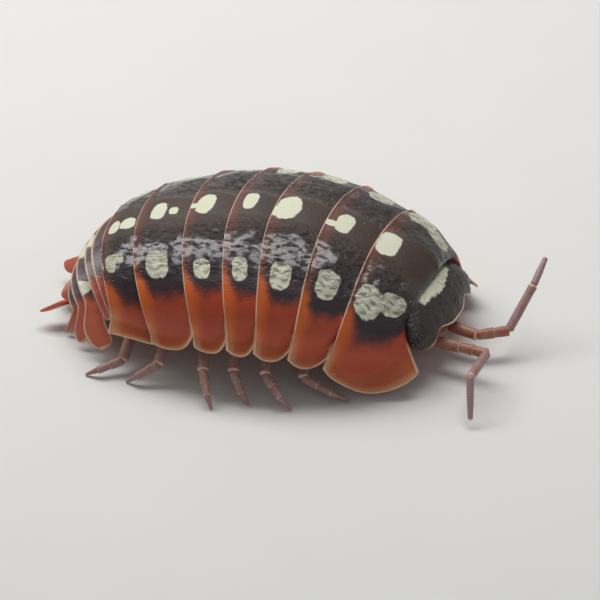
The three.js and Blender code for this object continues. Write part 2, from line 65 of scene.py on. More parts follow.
# Tail plates from front to rear
TAIL = [
    {"length": 0.37, "half": 2.84, "height": 2.00, "pitch": 23.0, "yaw": 1.5, "sweep": 0.90},
    {"length": 0.22, "half": 2.70, "height": 1.84, "pitch": 28.0, "yaw": 1.0, "sweep": 0.90},
    {"length": 0.38, "half": 2.54, "height": 1.60, "pitch": 34.0, "yaw": 1.0, "sweep": 0.90},
    {"length": 0.38, "half": 2.30, "height": 1.32, "pitch": 40.0, "yaw": 1.0, "sweep": 0.90},
    {"length": 0.38, "half": 1.96, "height": 1.04, "pitch": 46.0, "yaw": 1.0, "sweep": 0.80},
]
FRONT = {"length": 0, "half": 2.40, "height": 2.12, "pitch": -34.0, "yaw": -10.5, "sweep": 0.36}

# Where the rear edge of the fourth plate stands, and the middle of the whole body's box
MIDDLE = Vector((-0.60, 0.20, 2.20))
BOX_CENTRE = Vector((0.92, 0, 0))
MIDDLE_PLATE = 3

# The cross-section of a plate: an arch that flares outwards and drops at its lower edges
ARCH_POWER = 2.24
ARCH_SHARE = 0.80
FLARE = 0.29
FLARE_POWER = 1.6
DROP = 0.44

# The rear edges sweep back by each row's sweep at this width
SWEEP_WIDTH = 4

# One unit of the marks UV map, in millimetres
MARKS = 16


# Sizes of the body, at any place along its midline

def lerp(a, b, share):
    return a + (b - a) * share


def clamp(value, low=0.0, high=1.0):
    return max(low, min(high, value))


def smooth(low, high, value):
    share = clamp((value - low) / (high - low))
    return share * share * (3 - 2 * share)


def station_list():
    plates = TRUNK + TAIL
    places = [0.0]
    for row in plates[MIDDLE_PLATE + 1:]:
        places.append(places[-1] - row["length"])
    for row in reversed(plates[:MIDDLE_PLATE + 1]):
        places.insert(0, places[0] + row["length"])
    return [{**row, "s": s} for row, s in zip([FRONT] + plates, places)]


STATIONS = station_list()
FRONT_S = STATIONS[0]["s"]
REAR_S = STATIONS[-1]["s"]


def size_at(key, s):
    if s >= FRONT_S:
        return STATIONS[0][key]
    if s <= REAR_S:
        return STATIONS[-1][key]
    ahead = max(i for i in range(len(STATIONS) - 1) if STATIONS[i]["s"] > s)
    one, other = STATIONS[ahead], STATIONS[ahead + 1]
    return lerp(one[key], other[key], (one["s"] - s) / (one["s"] - other["s"]))


def turned_axes(pitch, yaw):
    pitch, yaw = math.radians(pitch), math.radians(yaw)
    forward = Vector((math.cos(pitch) * math.cos(yaw), math.cos(pitch) * math.sin(yaw), math.sin(pitch)))
    left = Vector((-math.sin(yaw), math.cos(yaw), 0))
    return forward, left, forward.cross(left)


def axes_at(s):
    return turned_axes(size_at("pitch", s), size_at("yaw", s))


WALK_STEP = 0.05


def walk(direction, reach):
    points = [MIDDLE - BOX_CENTRE]
    for i in range(math.ceil(reach / WALK_STEP)):
        forward = axes_at(direction * (i + 0.5) * WALK_STEP)[0]
        points.append(points[i] + forward * direction * WALK_STEP)
    return points


AHEAD = walk(1, FRONT_S + 2)
BEHIND = walk(-1, 2 - REAR_S)


def midline(s):
    points = AHEAD if s >= 0 else BEHIND
    place = abs(s) / WALK_STEP
    i = min(int(place), len(points) - 2)
    return points[i].lerp(points[i + 1], place - i)


def body_point(s, y, z):
    """A point from its place along the midline, to the left of it and above it"""
    _, left, up = axes_at(s)
    return midline(s) + left * y + up * z


def sweep_at(s, y):
    return size_at("sweep", s) * (y / SWEEP_WIDTH) ** 2


def arch_point(half, height, angle):
    """A point of a plate's arch; the angle is 0 on top and a quarter turn at the side"""
    y = half * max(math.sin(angle), 0) ** (2 / ARCH_POWER)
    z = height * max(math.cos(angle), 0) ** (2 / ARCH_POWER)
    return y, z


def section(half, height, lift, t):
    """A point of a plate's cross-section; t runs from -1 at the right edge to 1 at the left"""
    past = max(abs(t) - ARCH_SHARE, 0) / (1 - ARCH_SHARE)
    y, arch = arch_point(half, height, min(abs(t) / ARCH_SHARE, 1) * math.pi / 2)
    y += FLARE * past ** FLARE_POWER
    z = arch - (DROP - lift) * past + lift * (1 - arch / height) * (1 - past)
    return math.copysign(y, t), z


# Making pieces

def deselect():
    bpy.ops.object.select_all(action="DESELECT")


def plain_marks(u, v):
    return u, v


def grid_piece(name, across, along, place, marks=plain_marks):
    """A grid of faces laid over a shape: place turns its own u and v into a point in millimetres"""
    deselect()
    bpy.ops.mesh.primitive_grid_add(x_subdivisions=across, y_subdivisions=along, size=1, calc_uvs=True)
    piece = bpy.context.object
    piece.name = name
    mesh = piece.data
    mesh.name = name
    spots = [(vertex.co.x + 0.5, vertex.co.y + 0.5) for vertex in mesh.vertices]
    for vertex, (u, v) in zip(mesh.vertices, spots):
        vertex.co = place(u, v) * MM
    layer = mesh.uv_layers[0]
    layer.name = "Marks"
    for loop in mesh.loops:
        layer.data[loop.index].uv = marks(*spots[loop.vertex_index])
    return piece


def select(piece):
    """Makes a piece the only one that operators act on"""
    deselect()
    piece.select_set(True)
    bpy.context.view_layer.objects.active = piece


def edit(piece, work):
    """Runs an edit-mode job on a piece with all of it selected"""
    select(piece)
    bpy.ops.object.mode_set(mode="EDIT")
    bpy.ops.mesh.select_all(action="SELECT")
    work()
    bpy.ops.object.mode_set(mode="OBJECT")


# Points nearer to each other than this become one, in metres
MERGE = 2e-7


def close_up():
    bpy.ops.mesh.remove_doubles(threshold=MERGE)
    bpy.ops.mesh.normals_make_consistent(inside=False)


def finish_with(piece, kind, **values):
    """Adds a modifier and applies it"""
    select(piece)
    modifier = piece.modifiers.new(kind.title(), kind)
    for key, value in values.items():
        setattr(modifier, key, value)
    bpy.ops.object.modifier_apply(modifier=modifier.name)


def soften(piece, levels=1):
    if levels:
        finish_with(piece, "SUBSURF", levels=levels, render_levels=levels)
    select(piece)
    bpy.ops.object.shade_smooth()


def shell_piece(name, across, along, place, marks, thickness):
    """A thin plate: a grid over its outer face, given its thickness inwards"""
    piece = grid_piece(name, across, along, place, marks)
    edit(piece, lambda: bpy.ops.mesh.normals_make_consistent(inside=False))
    middle = piece.data.polygons[len(piece.data.polygons) // 2]
    if middle.normal.z < 0:
        edit(piece, bpy.ops.mesh.flip_normals)
    finish_with(piece, "SOLIDIFY", thickness=thickness * MM, offset=-1, use_even_offset=False)
    soften(piece)
    return piece


def sleeve_piece(name, around, along, place, levels=0):
    """A closed round form: a grid wrapped on itself, with both ends drawn in to a point"""
    piece = grid_piece(name, around, along, place)
    edit(piece, close_up)
    soften(piece, levels)
    return piece


def joined(name, pieces):
    deselect()
    for piece in pieces:
        piece.select_set(True)
    bpy.context.view_layer.objects.active = pieces[0]
    bpy.ops.object.join()
    whole = bpy.context.object
    whole.name = name
    whole.data.name = name
    return whole


def done(piece, paint, slot, *nodes):
    """Gives a finished piece its material and its body, and hides the CAD parts of the nodes that it stands
    for; the slot is not used
    """
    piece.data.materials.clear()
    piece.data.materials.append(paint)
    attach(piece, ROOT)
    if nodes:
        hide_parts(*nodes)


# Shader sums

class Value:
    """A number that changes over a surface and can be used in a sum as any number can"""

    def __init__(self, paint, socket):
        self.paint = paint
        self.socket = socket

    def math(self, operation, *terms):
        return self.paint.math(operation, *terms)

    def __add__(self, other):
        return self.math("ADD", self, other)

    __radd__ = __add__

    def __sub__(self, other):
        return self.math("SUBTRACT", self, other)

    def __rsub__(self, other):
        return self.math("SUBTRACT", other, self)

    def __mul__(self, other):
        return self.math("MULTIPLY", self, other)

    __rmul__ = __mul__

    def __truediv__(self, other):
        return self.math("DIVIDE", self, other)

    def __pow__(self, other):
        return self.math("POWER", self, other)

    def __abs__(self):
        return self.math("ABSOLUTE", self)

    def sine(self):
        return self.math("SINE", self)

    def most(self, other):
        return self.math("MAXIMUM", self, other)

    def least(self, other):
        return self.math("MINIMUM", self, other)

    def step(self, low, high):
        """Rises smoothly from 0 at the low value to 1 at the high one"""
        smoothed = {"interpolation_type": "SMOOTHSTEP"}
        made = self.paint.node("MapRange", smoothed, {"Value": self, "From Min": low, "From Max": high})
        return Value(self.paint, made.outputs["Result"])

    def fall(self, low, high):
        return 1 - self.step(low, high)


class Paint:
    """A material under way: its nodes are made by the methods here"""

    def __init__(self, name):
        self.material = bpy.data.materials.new(name)
        self.material.use_nodes = True
        self.tree = self.material.node_tree
        self.tree.nodes.clear()
        spot = self.node("TexCoord").outputs["Object"]
        self.place = self.node("VectorMath", {"operation": "SCALE"}, {0: spot, "Scale": 1 / MM}).outputs[0]

    def node(self, kind, settings=None, values=None):
        """Adds a node; its settings are set first, and then its sockets are given values or links"""
        made = self.tree.nodes.new("ShaderNode" + kind)
        for key, value in (settings or {}).items():
            setattr(made, key, value)
        for key, value in (values or {}).items():
            source = value.socket if isinstance(value, Value) else value
            if isinstance(source, bpy.types.NodeSocket):
                self.tree.links.new(source, made.inputs[key])
            else:
                made.inputs[key].default_value = source
        return made

    def math(self, operation, *terms):
        made = self.node("Math", {"operation": operation}, dict(enumerate(terms)))
        return Value(self, made.outputs[0])

    def marks(self):
        uv = self.node("UVMap", {"uv_map": "Marks"}).outputs["UV"]
        split = self.node("SeparateXYZ", None, {0: uv})
        return Value(self, split.outputs["X"]), Value(self, split.outputs["Y"])

    def along(self, axis, origin):
        """How far a place lies along an axis from an origin, in millimetres"""
        dot = self.node("VectorMath", {"operation": "DOT_PRODUCT"}, {0: self.place, 1: axis})
        return Value(self, dot.outputs["Value"]) - axis.dot(origin)

    def grain(self, scale, detail=2.0, rough=0.5, stretch=None):
        """Soft noise between 0 and 1, with so many lumps to a millimetre"""
        place = self.place
        if stretch:
            place = self.node("VectorMath", {"operation": "MULTIPLY"}, {0: place, 1: stretch}).outputs[0]
        values = {"Vector": place, "Scale": scale, "Detail": detail, "Roughness": rough}
        return Value(self, self.node("TexNoise", None, values).outputs[0])

    def cells(self, scale):
        """Distance to the nearest of scattered points, with so many of them to a millimetre"""
        made = self.node("TexVoronoi", None, {"Vector": self.place, "Scale": scale})
        return Value(self, made.outputs["Distance"])

    def mix(self, one, other, factor):
        """One colour where the factor is 0 and the other where it is 1"""
        made = self.node("Mix", {"data_type": "RGBA"}, {0: factor, 6: opaque(one), 7: opaque(other)})
        return made.outputs[2]

    def bump(self, height, depth, below=None):
        """A relief of a depth in millimetres, over the one below it if there is one"""
        values = {"Height": height, "Distance": depth * MM, "Strength": 1.0}
        if below is not None:
            values["Normal"] = below
        return self.node("Bump", None, values).outputs["Normal"]

    def finish(self, values):
        shader = self.node("BsdfPrincipled", None, values)
        self.node("OutputMaterial", None, {"Surface": shader.outputs[0]})
        return self.material


def opaque(colour):
    """A set colour with its alpha; the colour that a node gives stays as it is"""
    return colour if isinstance(colour, bpy.types.NodeSocket) else (*colour, 1.0)


# Shell

# Cream spots of each trunk plate: across from the middle, ahead of the rear edge, half sizes each way,
# and how clearly grey lines cross them. Those further out than PAIRED are on both sides.
SPOTS = [
    [(0, 0.32, 0.38, 0.30, 0), (2.03, 0.52, 0.56, 0.40, 1), (1.74, 1.16, 0.42, 0.38, 1)],
    [(0, 0.52, 0.30, 0.25, 0), (-0.12, 0.18, 0.09, 0.24, 0), (2.14, 0.72, 0.52, 0.38, 1)],
    [(0, 0.40, 0.40, 0.34, 0), (-0.16, 0.12, 0.16, 0.20, 0), (2.36, 0.72, 0.46, 0.36, 1)],
    [(0.10, 0.46, 0.28, 0.21, 0), (2.33, 0.58, 0.46, 0.26, 1)],
    [(0, 0.50, 0.34, 0.30, 0), (-0.04, 0.14, 0.08, 0.22, 0), (2.38, 0.70, 0.38, 0.31, 0.8)],
    [(-0.08, 0.70, 0.30, 0.26, 0), (-0.10, 1.20, 0.12, 0.16, 0), (2.08, 0.84, 0.54, 0.40, 0.4)],
    [(-0.22, 0.38, 0.24, 0.20, 0), (-0.20, 0.86, 0.19, 0.27, 0), (1.72, 0.36, 0.36, 0.20, 0),
     (1.52, 0.60, 0.16, 0.24, 0)],
]
PAIRED = 0.5
SPOT_POWER = 2.5
SPOT_RAGGED = 0.25
SPOT_EDGE = (0.92, 1.04)
LINE_SPACING = 0.27

# Bands of a trunk plate's colours, in millimetres: where each starts to change and where it has changed.
# Those over the back count from its middle, those ahead from the rear edge, those above from the lower edge.
DARK_SIDE_OVER = (0.5, 1.9)
FLANK_OVER = (2.95, 3.75)
WRINKLES_OVER = ((0.35, 0.85), (1.7, 2.7))
MARGIN_AHEAD = (0.05, 0.44)
SPECKLES_AHEAD = (0.15, 0.9)
BRIGHT_AHEAD = (0.10, 0.62)
EDGE_AHEAD = (0.0, 0.62)
CORNER_AHEAD = (0.08, 0.36)
REAR_RIM_AHEAD = (0.018, 0.050)
LOW_FLANK_ABOVE = (0.3, 1.5)
WIDE_RIM_ABOVE = (0.06, 0.34)
LOW_RIM_ABOVE = (0.028, 0.070)
FRONT_RIM = {"first": 0.004, "others": 0.05}


def spot_masks(paint, across, ahead, spots):
    """Where the cream spots are, and where grey lines cross them"""
    ragged = (paint.grain(3.4, 3.0) - 0.5) * SPOT_RAGGED * 2
    turns = 2 * math.pi / LINE_SPACING
    wave = (ahead * 11 + across * 3).sine() * 0.20 + paint.grain(4.0) * 0.7
    rows = ((across + wave * LINE_SPACING) * turns).sine()
    breaks = ((ahead - across * 0.3) * (turns * 0.72)).sine()
    lines = (rows + breaks * 0.5 + paint.grain(4.0) - 0.5).step(0.25, 1.15)
    cream = crossed = 0
    for x, a, half_x, half_a, lined in spots:
        side = abs(across) if x > PAIRED else across
        sideways = abs((side - x) / half_x) ** SPOT_POWER
        lengthways = abs((ahead - a) / half_a) ** SPOT_POWER
        far = (sideways + lengthways) ** (1 / SPOT_POWER)
        mask = (far + ragged).fall(*SPOT_EDGE)
        cream = mask if isinstance(cream, int) else cream.most(mask)
        if lined:
            crossed = mask * lined if isinstance(crossed, int) else crossed.most(mask * lined)
    return cream, crossed * lines


def plate_paint(number, girth, length, looks):
    """Dark back, orange flanks with pale rims, and cream spots"""
    paint = Paint(f"shell_{number + 1}")
    u, v = paint.marks()
    across = (u - 0.5) * MARKS
    ahead = (v - 0.5) * MARKS
    side = abs(across)
    low = girth - side
    mottle = paint.grain(1.6, 3.0)
    fine = paint.grain(16.0, 3.0, 0.7)

    brown = paint.mix(looks.back, looks.back_side, side.step(*DARK_SIDE_OVER))
    speckles = (fine - 0.5) * ahead.fall(*SPECKLES_AHEAD) * 1.7
    margin = ahead.fall(*MARGIN_AHEAD) * 0.9 + speckles
    back = paint.mix(brown, looks.margin, margin.most(0).least(1))
    ragged = (mottle - 0.5) * 0.9 + (fine - 0.5) * 0.5
    flank_mask = (side + ragged + ahead.fall(*EDGE_AHEAD) * 0.95).step(*FLANK_OVER)
    bright = (ahead.fall(*BRIGHT_AHEAD) * 0.85 + (mottle - 0.5) * 0.5).most(0).least(1)
    flank = paint.mix(looks.flank, looks.flank_bright, bright)
    flank = paint.mix(flank, looks.flank_low, low.fall(*LOW_FLANK_ABOVE) * 0.6)
    body = paint.mix(back, flank, flank_mask)
    body = paint.mix(body, looks.rim_wide, low.fall(*WIDE_RIM_ABOVE) * 0.65)
    corner = side.step(girth - 1.9, girth - 0.6) * ahead.fall(*CORNER_AHEAD)
    body = paint.mix(body, looks.rim_wide, corner * 0.7)

    cream, crossed = spot_masks(paint, across, ahead, SPOTS[number])
    body = paint.mix(body, looks.cream, cream)
    body = paint.mix(body, looks.grey_line, crossed * 0.75)
    flecks = paint.cells(2.3).fall(0.05, 0.075) * fine.step(0.5, 0.6) * (1 - cream)
    body = paint.mix(body, looks.cream, flecks * 0.8)

    rear_rim = ahead.fall(*REAR_RIM_AHEAD)
    low_rim = low.fall(*LOW_RIM_ABOVE)
    front_reach = FRONT_RIM["first" if number == 0 else "others"]
    front_rim = (length - ahead).fall(front_reach, 2 * front_reach) * side.step(girth - 1.6, girth - 1.0)
    rim = rear_rim.most(low_rim).most(front_rim)
    body = paint.mix(body, looks.rim, rim * 0.85)

    start, end = WRINKLES_OVER
    zone = side.step(*start) * side.fall(*end) * mottle.step(0.22, 0.46)
    wrinkle = paint.grain(3.4, 4.0, 0.6, (1.0, 1.7, 1.7))
    normal = paint.bump(paint.cells(13.0), 0.010 * looks.grit)
    normal = paint.bump(wrinkle * zone, 0.40 * looks.wrinkles, normal)
    gloss = zone * (1 - cream) * wrinkle.step(0.40, 0.56)
    rough = 0.40 + fine * 0.14 + cream * 0.14 - zone * 0.10
    return paint.finish({
        "Base Color": body,
        "Roughness": rough,
        "Normal": normal,
        "Specular IOR Level": 0.5,
        "Coat Weight": gloss * 0.96 + 0.04,
        "Coat Roughness": 0.12,
    })


# How plates are lifted and drawn out at their lower corners, and tucked under the one in front
CORNER = {"lift": 0.62, "power": 2.2}
FIRST_CORNER = {"lift": 1.38, "power": 3.2}
REAR_CORNER = {"lift": 0.26, "power": 3.2}
LAST_PLATE_LIFT = 0.55
FIRST_WRAP = 1.42
LAST_WRAP = -0.55
PLATE_BULGE = 0.06
STEP_IN = 0.14
TUCKED = 0.13
LOW_TUCK = 0.10


def corner_lift(number, share):
    """How far a plate's lower edge is lifted at a share of its length from the front"""
    share = clamp(share)
    if number == len(TRUNK) - 1:
        return LAST_PLATE_LIFT * share
    if share < 0.5:
        corner, far = FIRST_CORNER if number == 0 else CORNER, 1 - 2 * share
    else:
        corner, far = REAR_CORNER, 2 * share - 1
    return corner["lift"] * far ** corner["power"]


def wrap_at(number, share):
    """How far a plate's lower corners reach forwards"""
    if number == 0:
        return FIRST_WRAP * (1 - share) ** 2
    if number == len(TRUNK) - 1:
        return LAST_WRAP * max(share, 0) ** 2
    return 0


def plate_size(number, share):
    """Half width and height of a plate's outer face"""
    front, rear = STATIONS[number], STATIONS[number + 1]
    first = number == 0
    taper = math.sqrt(max(1 - (1 - share) ** 2, 0)) if first else share
    bulge = PLATE_BULGE * math.sin(math.pi * clamp(share))
    tuck = 0 if first else STEP_IN * (1 - share) ** 2
    return [lerp(front[key], rear[key], max(taper, 0)) + bulge - tuck for key in ("half", "height")]


GIRTH_SHARE = 0.6
GIRTH_STEPS = 60


def girth_of(number):
    """Length over the arch from the middle of the back to the lower edge"""
    half, height = plate_size(number, GIRTH_SHARE)
    points = [Vector(section(half, height, 0, i / GIRTH_STEPS)) for i in range(GIRTH_STEPS + 1)]
    return sum((b - a).length for a, b in zip(points, points[1:]))


CLOSER_STEPS = 1.35


def plate_share(number, v, t):
    """Share of the plate's length, with closer steps towards its rear edge and none tucked in low down"""
    start = 0 if number == 0 else -TUCKED * (1 - smooth(0.5, 0.78, abs(t)))
    return lerp(start, 1, 1 - (1 - v) ** CLOSER_STEPS)


# Raised rims at the rear and lower edges, and soft waves between the middle and the flanks
RIM_WIDTH = 0.07
RIM_HEIGHT = 0.025
LOW_RIM_SHARE = 0.6
WRINKLE_SCALE = 2.4
BROAD_SCALE = 0.35
BROAD_SHARE = 0.8


def plate_place(number, girth, sizes):
    front, rear = STATIONS[number]["s"], STATIONS[number + 1]["s"]
    length = front - rear

    def place(u, v):
        t = 1 - 2 * u
        share = plate_share(number, v, t)
        half, height = plate_size(number, share)
        if number > 0:
            half -= LOW_TUCK * smooth(0.35, 0.75, abs(t)) * (1 - clamp(share)) ** 3
        ahead = (1 - share) * length
        side = abs(t) * girth
        rise = RIM_HEIGHT * math.exp(-(ahead / RIM_WIDTH) ** 2)
        rise += LOW_RIM_SHARE * RIM_HEIGHT * math.exp(-((girth - side) / RIM_WIDTH) ** 2)
        zone = smooth(0.3, 1.0, side) * (1 - smooth(2.1, 3.2, side))
        s = lerp(front, rear, share)
        spot = Vector((s * 1.2, t * girth, number * 7.0)) * WRINKLE_SCALE
        rise += noise.noise(spot) * sizes.wrinkle_height * zone
        rise += noise.noise(spot * BROAD_SCALE) * sizes.wrinkle_height * BROAD_SHARE
        y, z = section(half + rise, height + rise, corner_lift(number, share), t)
        wrap = wrap_at(number, share) * abs(t) ** 4
        return body_point(s + sweep_at(s, y) + wrap, y, z)

    return place


def plate_marks(number, girth):
    length = TRUNK[number]["length"]

    def marks(u, v):
        ahead = (1 - plate_share(number, v, 1 - 2 * u)) * length
        return 0.5 + (1 - 2 * u) * girth / MARKS, 0.5 + ahead / MARKS

    return marks


# Tail plates: bands across the back, the last three of which end in lobes

LOBES = {
    2: {"length": 2.00, "width": 0.92, "swing": 0.34},
    3: {"length": 1.50, "width": 0.76, "swing": -0.32},
    4: {"length": 0.94, "width": 0.72, "swing": -0.56},
}
BAND_ROWS = 16
LOBE_START = 0.52
LOBE_ANGLE = math.radians(60)
TAIL_TUCK = 0.11
TAIL_OVERLAP = 0.16
LOBE_ROUND = 0.80
LOBE_WIDTHS = (0.85, 1.08)
LOBE_BLUNT = 0.12
BAND_RIM = {"height": 0.02, "share": 0.2}


def band_path(index, q):
    """Width and height over the back of a tail band, from the middle at 0 to its end at 1"""
    row = TAIL[index]
    if index not in LOBES:
        return arch_point(row["half"], row["height"], q * math.pi / 2)
    lobe = LOBES[index]
    if q <= LOBE_START:
        return arch_point(row["half"], row["height"], q / LOBE_START * LOBE_ANGLE)
    root = Vector(arch_point(row["half"], row["height"], LOBE_ANGLE))
    before = Vector(arch_point(row["half"], row["height"], LOBE_ANGLE - 0.02))
    tip = Vector((row["half"] - 0.57 + 0.66 * lobe["length"], 0.82 - 0.78 * lobe["length"]))
    middle = root + (root - before).normalized() * (tip - root).length * 0.45
    r = (q - LOBE_START) / (1 - LOBE_START)
    return root * (1 - r) ** 2 + middle * 2 * r * (1 - r) + tip * r * r


def band_place(index):
    front = STATIONS[len(TRUNK) + index]["s"] + TAIL_OVERLAP
    rear = STATIONS[len(TRUNK) + index + 1]["s"]

    def place(u, v):
        q = abs(1 - 2 * u)
        side = 1 if u < 0.5 else -1
        y, z = band_path(index, q)
        tuck = TAIL_TUCK * (1 - v) * (1 - 0.6 * smooth(LOBE_START, 1, q))
        rise = BAND_RIM["height"] * math.exp(-((1 - v) / BAND_RIM["share"]) ** 2)
        normal = Vector((y / TAIL[index]["half"], max(z, 0) / TAIL[index]["height"])).normalized()
        y, z = y + normal.x * (rise - tuck), z + normal.y * (rise - tuck)
        s = lerp(front, rear, v)
        swept = sweep_at(s, y)
        if index in LOBES and q > LOBE_START:
            lobe = LOBES[index]
            r = (q - LOBE_START) / (1 - LOBE_START)
            end = max(r - LOBE_ROUND, 0) / (1 - LOBE_ROUND)
            half = lobe["width"] / 2 * lerp(*LOBE_WIDTHS, r) * max(math.sqrt(1 - end * end), LOBE_BLUNT)
            centre = (front - TAIL_OVERLAP + rear) / 2 + lobe["swing"] * r * r
            blend = smooth(0, 0.7, r)
            s = lerp(s, centre + half * (1 - 2 * v), blend)
            swept *= 1 - blend
        return body_point(s + swept, side * y, z)

    return place


def tail_paint(index, looks):
    """Dark bands with pale edges that turn salmon on the lobes"""
    paint = Paint(f"tail_{index + 1}")
    u, v = paint.marks()
    q = abs(u * 2 - 1)
    fine = paint.grain(16.0, 3.0, 0.7)
    mottle = paint.grain(2.2, 3.0)
    back = paint.mix(looks.tail_back, looks.margin, v.step(0.6, 1.0) * 0.25)
    reach = q + (mottle - 0.5) * 0.14 + (fine - 0.5) * 0.06 + v.step(0.5, 1) * 0.06
    lobe = paint.mix(looks.salmon, looks.salmon_deep, fine * 0.6 + v.fall(0.1, 0.5) * 0.3)
    body = paint.mix(back, lobe, reach.step(0.46, 0.60))
    if index in (1, 2):
        cream = q.fall(0.05, 0.09) * v.step(0.15, 0.3)
        body = paint.mix(body, looks.cream, cream)
    if index == 2:
        patch = (q - 0.40 + (mottle - 0.5) * 0.05) / (v * 0.085 + 0.012)
        body = paint.mix(body, looks.cream, abs(patch).fall(0.8, 1.0) * v.step(0.12, 0.35))
    rim = v.step(0.86, 0.93).most(q.step(0.965, 0.985)).most(v.fall(0.03, 0.07) * q.step(0.6, 0.7))
    body = paint.mix(body, looks.rim, rim * 0.8)
    normal = paint.bump(paint.cells(13.0), 0.008 * looks.grit)
    normal = paint.bump(mottle, 0.10 * looks.wrinkles, normal)
    return paint.finish({
        "Base Color": body,
        "Roughness": 0.36 + fine * 0.14,
        "Normal": normal,
        "Coat Weight": 0.3,
        "Coat Roughness": 0.2,
    })


# Telson and uropods

TELSON = {
    "length": 0.825, "root": 0.56, "tip": 0.34, "power": 3, "ends": (0.04, 0.22),
    "top": 0.98, "tip_top": 0.92, "bottom": 0.40, "tip_bottom": 0.60,
}
BLADE = {
    "length": 0.95, "width": 0.82, "thick": 0.20, "narrowing": 0.35, "thinning": 0.40, "power": 2.4,
    "ends": (0.04, 0.20), "y": 1.20, "z": 0.76, "splay": 0.20, "rise": 0.42, "tilt": 36,
}
END_GAP = 0.06


def rounded_ends(v, start, end):
    """1 along the middle of a form and 0 at both ends, over a start and an end share of its length"""
    if v < start:
        return math.sqrt(max(1 - ((start - v) / start) ** 2, 0))
    if v > 1 - end:
        return math.sqrt(max(1 - ((v - 1 + end) / end) ** 2, 0))
    return 1.0


def oval(angle, power):
    x, y = math.cos(angle), math.sin(angle)
    return math.copysign(abs(x) ** (2 / power), x), math.copysign(abs(y) ** (2 / power), y)


def telson_place(u, v):
    x, y = oval(2 * math.pi * u, TELSON["power"])
    ends = rounded_ends(v, *TELSON["ends"])
    half = lerp(TELSON["root"], TELSON["tip"], v)
    top = lerp(TELSON["top"], TELSON["tip_top"], v * v)
    bottom = lerp(TELSON["bottom"], TELSON["tip_bottom"], v)
    s = REAR_S - END_GAP - TELSON["length"] * v
    return body_point(s, half * x * ends, (top + bottom) / 2 + (top - bottom) / 2 * y * ends)


def blade_place(side):
    def place(u, v):
        x, y = oval(2 * math.pi * u, BLADE["power"])
        ends = rounded_ends(v, *BLADE["ends"])
        s = REAR_S - END_GAP - BLADE["length"] * v
        wide = BLADE["width"] / 2 * (1 - BLADE["narrowing"] * v) * ends
        thick = BLADE["thick"] / 2 * (1 - BLADE["thinning"] * v) * ends
        centre = Vector((BLADE["y"] + BLADE["splay"] * v, BLADE["z"] + BLADE["rise"] * v))
        tilt = math.radians(BLADE["tilt"])
        across = Vector((math.cos(tilt), math.sin(tilt)))
        above = Vector((-math.sin(tilt), math.cos(tilt)))
        spot = centre + across * wide * x + above * thick * y
        return body_point(s, side * spot.x, spot.y)

    return place


def salmon_paint(looks):
    """Salmon with a pale tip"""
    paint = Paint("tail_end")
    fine = paint.grain(16.0, 3.0, 0.7)
    mottle = paint.grain(2.6, 3.0)
    body = paint.mix(looks.salmon, looks.salmon_deep, fine * 0.7)
    _, v = paint.marks()
    body = paint.mix(body, looks.rim, v.step(0.9, 1.0) * 0.6)
    return paint.finish({
        "Base Color": body,
        "Roughness": 0.42 + mottle * 0.1,
        "Normal": paint.bump(paint.cells(12.0), 0.008 * looks.grit),
    })


# Head

HEAD_PLACE = Vector((6.27, -0.48, 2.61)) - BOX_CENTRE
HEAD_PITCH, HEAD_YAW, HEAD_ROLL = -48, -14, -6

# Rings of the head from its rear to the face: ahead, half width, top and bottom
HEAD_RINGS = [
    (-0.50, 0.02, -0.90, -0.94),
    (-0.45, 1.25, -0.50, -1.32),
    (-0.02, 1.85, -0.06, -1.40),
    (0.15, 2.05, 0.02, -1.42),
    (0.55, 2.28, 0.06, -1.42),
    (1.00, 2.28, 0.04, -1.40),
    (1.36, 1.97, -0.02, -1.34),
    (1.50, 1.74, -0.09, -1.27),
    (1.47, 1.62, -0.22, -1.20),
    (1.38, 1.46, -0.38, -1.16),
    (1.60, 1.00, -0.52, -1.12),
    (1.66, 0.02, -0.80, -0.84),
]
HEAD_POWER = 2.6

# The raised rim of the forehead and the two notches in it, over the feelers; their rings are counted as above
HEAD_RIM = {"high": 0.06, "ring": 6.9, "rings": 0.40, "lean": 0.4}
NOTCH = {"across": 1.12, "wide": 0.42, "deep": 0.26, "ring": 7.0, "rings": 1.3}
CROWN_SHARE = 0.34


def head_axes():
    ahead, left, up = turned_axes(HEAD_PITCH, HEAD_YAW)
    roll = Matrix.Rotation(math.radians(HEAD_ROLL), 3, ahead)
    return ahead, roll @ left, roll @ up


HEAD_AXES = head_axes()


def head_point(ahead, across, up):
    forward, left, above = HEAD_AXES
    return HEAD_PLACE + forward * ahead + left * across + above * up


def curve_at(rows, share):
    """A row of numbers from a smooth curve through rows of numbers, at a share of its length"""
    place = clamp(share) * (len(rows) - 1)
    i = min(int(place), len(rows) - 2)
    f = place - i
    p0, p1, p2, p3 = (rows[clamp(i + k, 0, len(rows) - 1)] for k in (-1, 0, 1, 2))
    made = []
    for a, b, c, d in zip(p0, p1, p2, p3):
        made.append(0.5 * (2 * b + (c - a) * f + (2 * a - 5 * b + 4 * c - d) * f * f
                           + (3 * b - a - 3 * c + d) * f ** 3))
    return made


def hump(place, middle, reach):
    """1 at the middle and close to 0 past twice the reach on either side"""
    return math.exp(-((place - middle) / reach) ** 2)


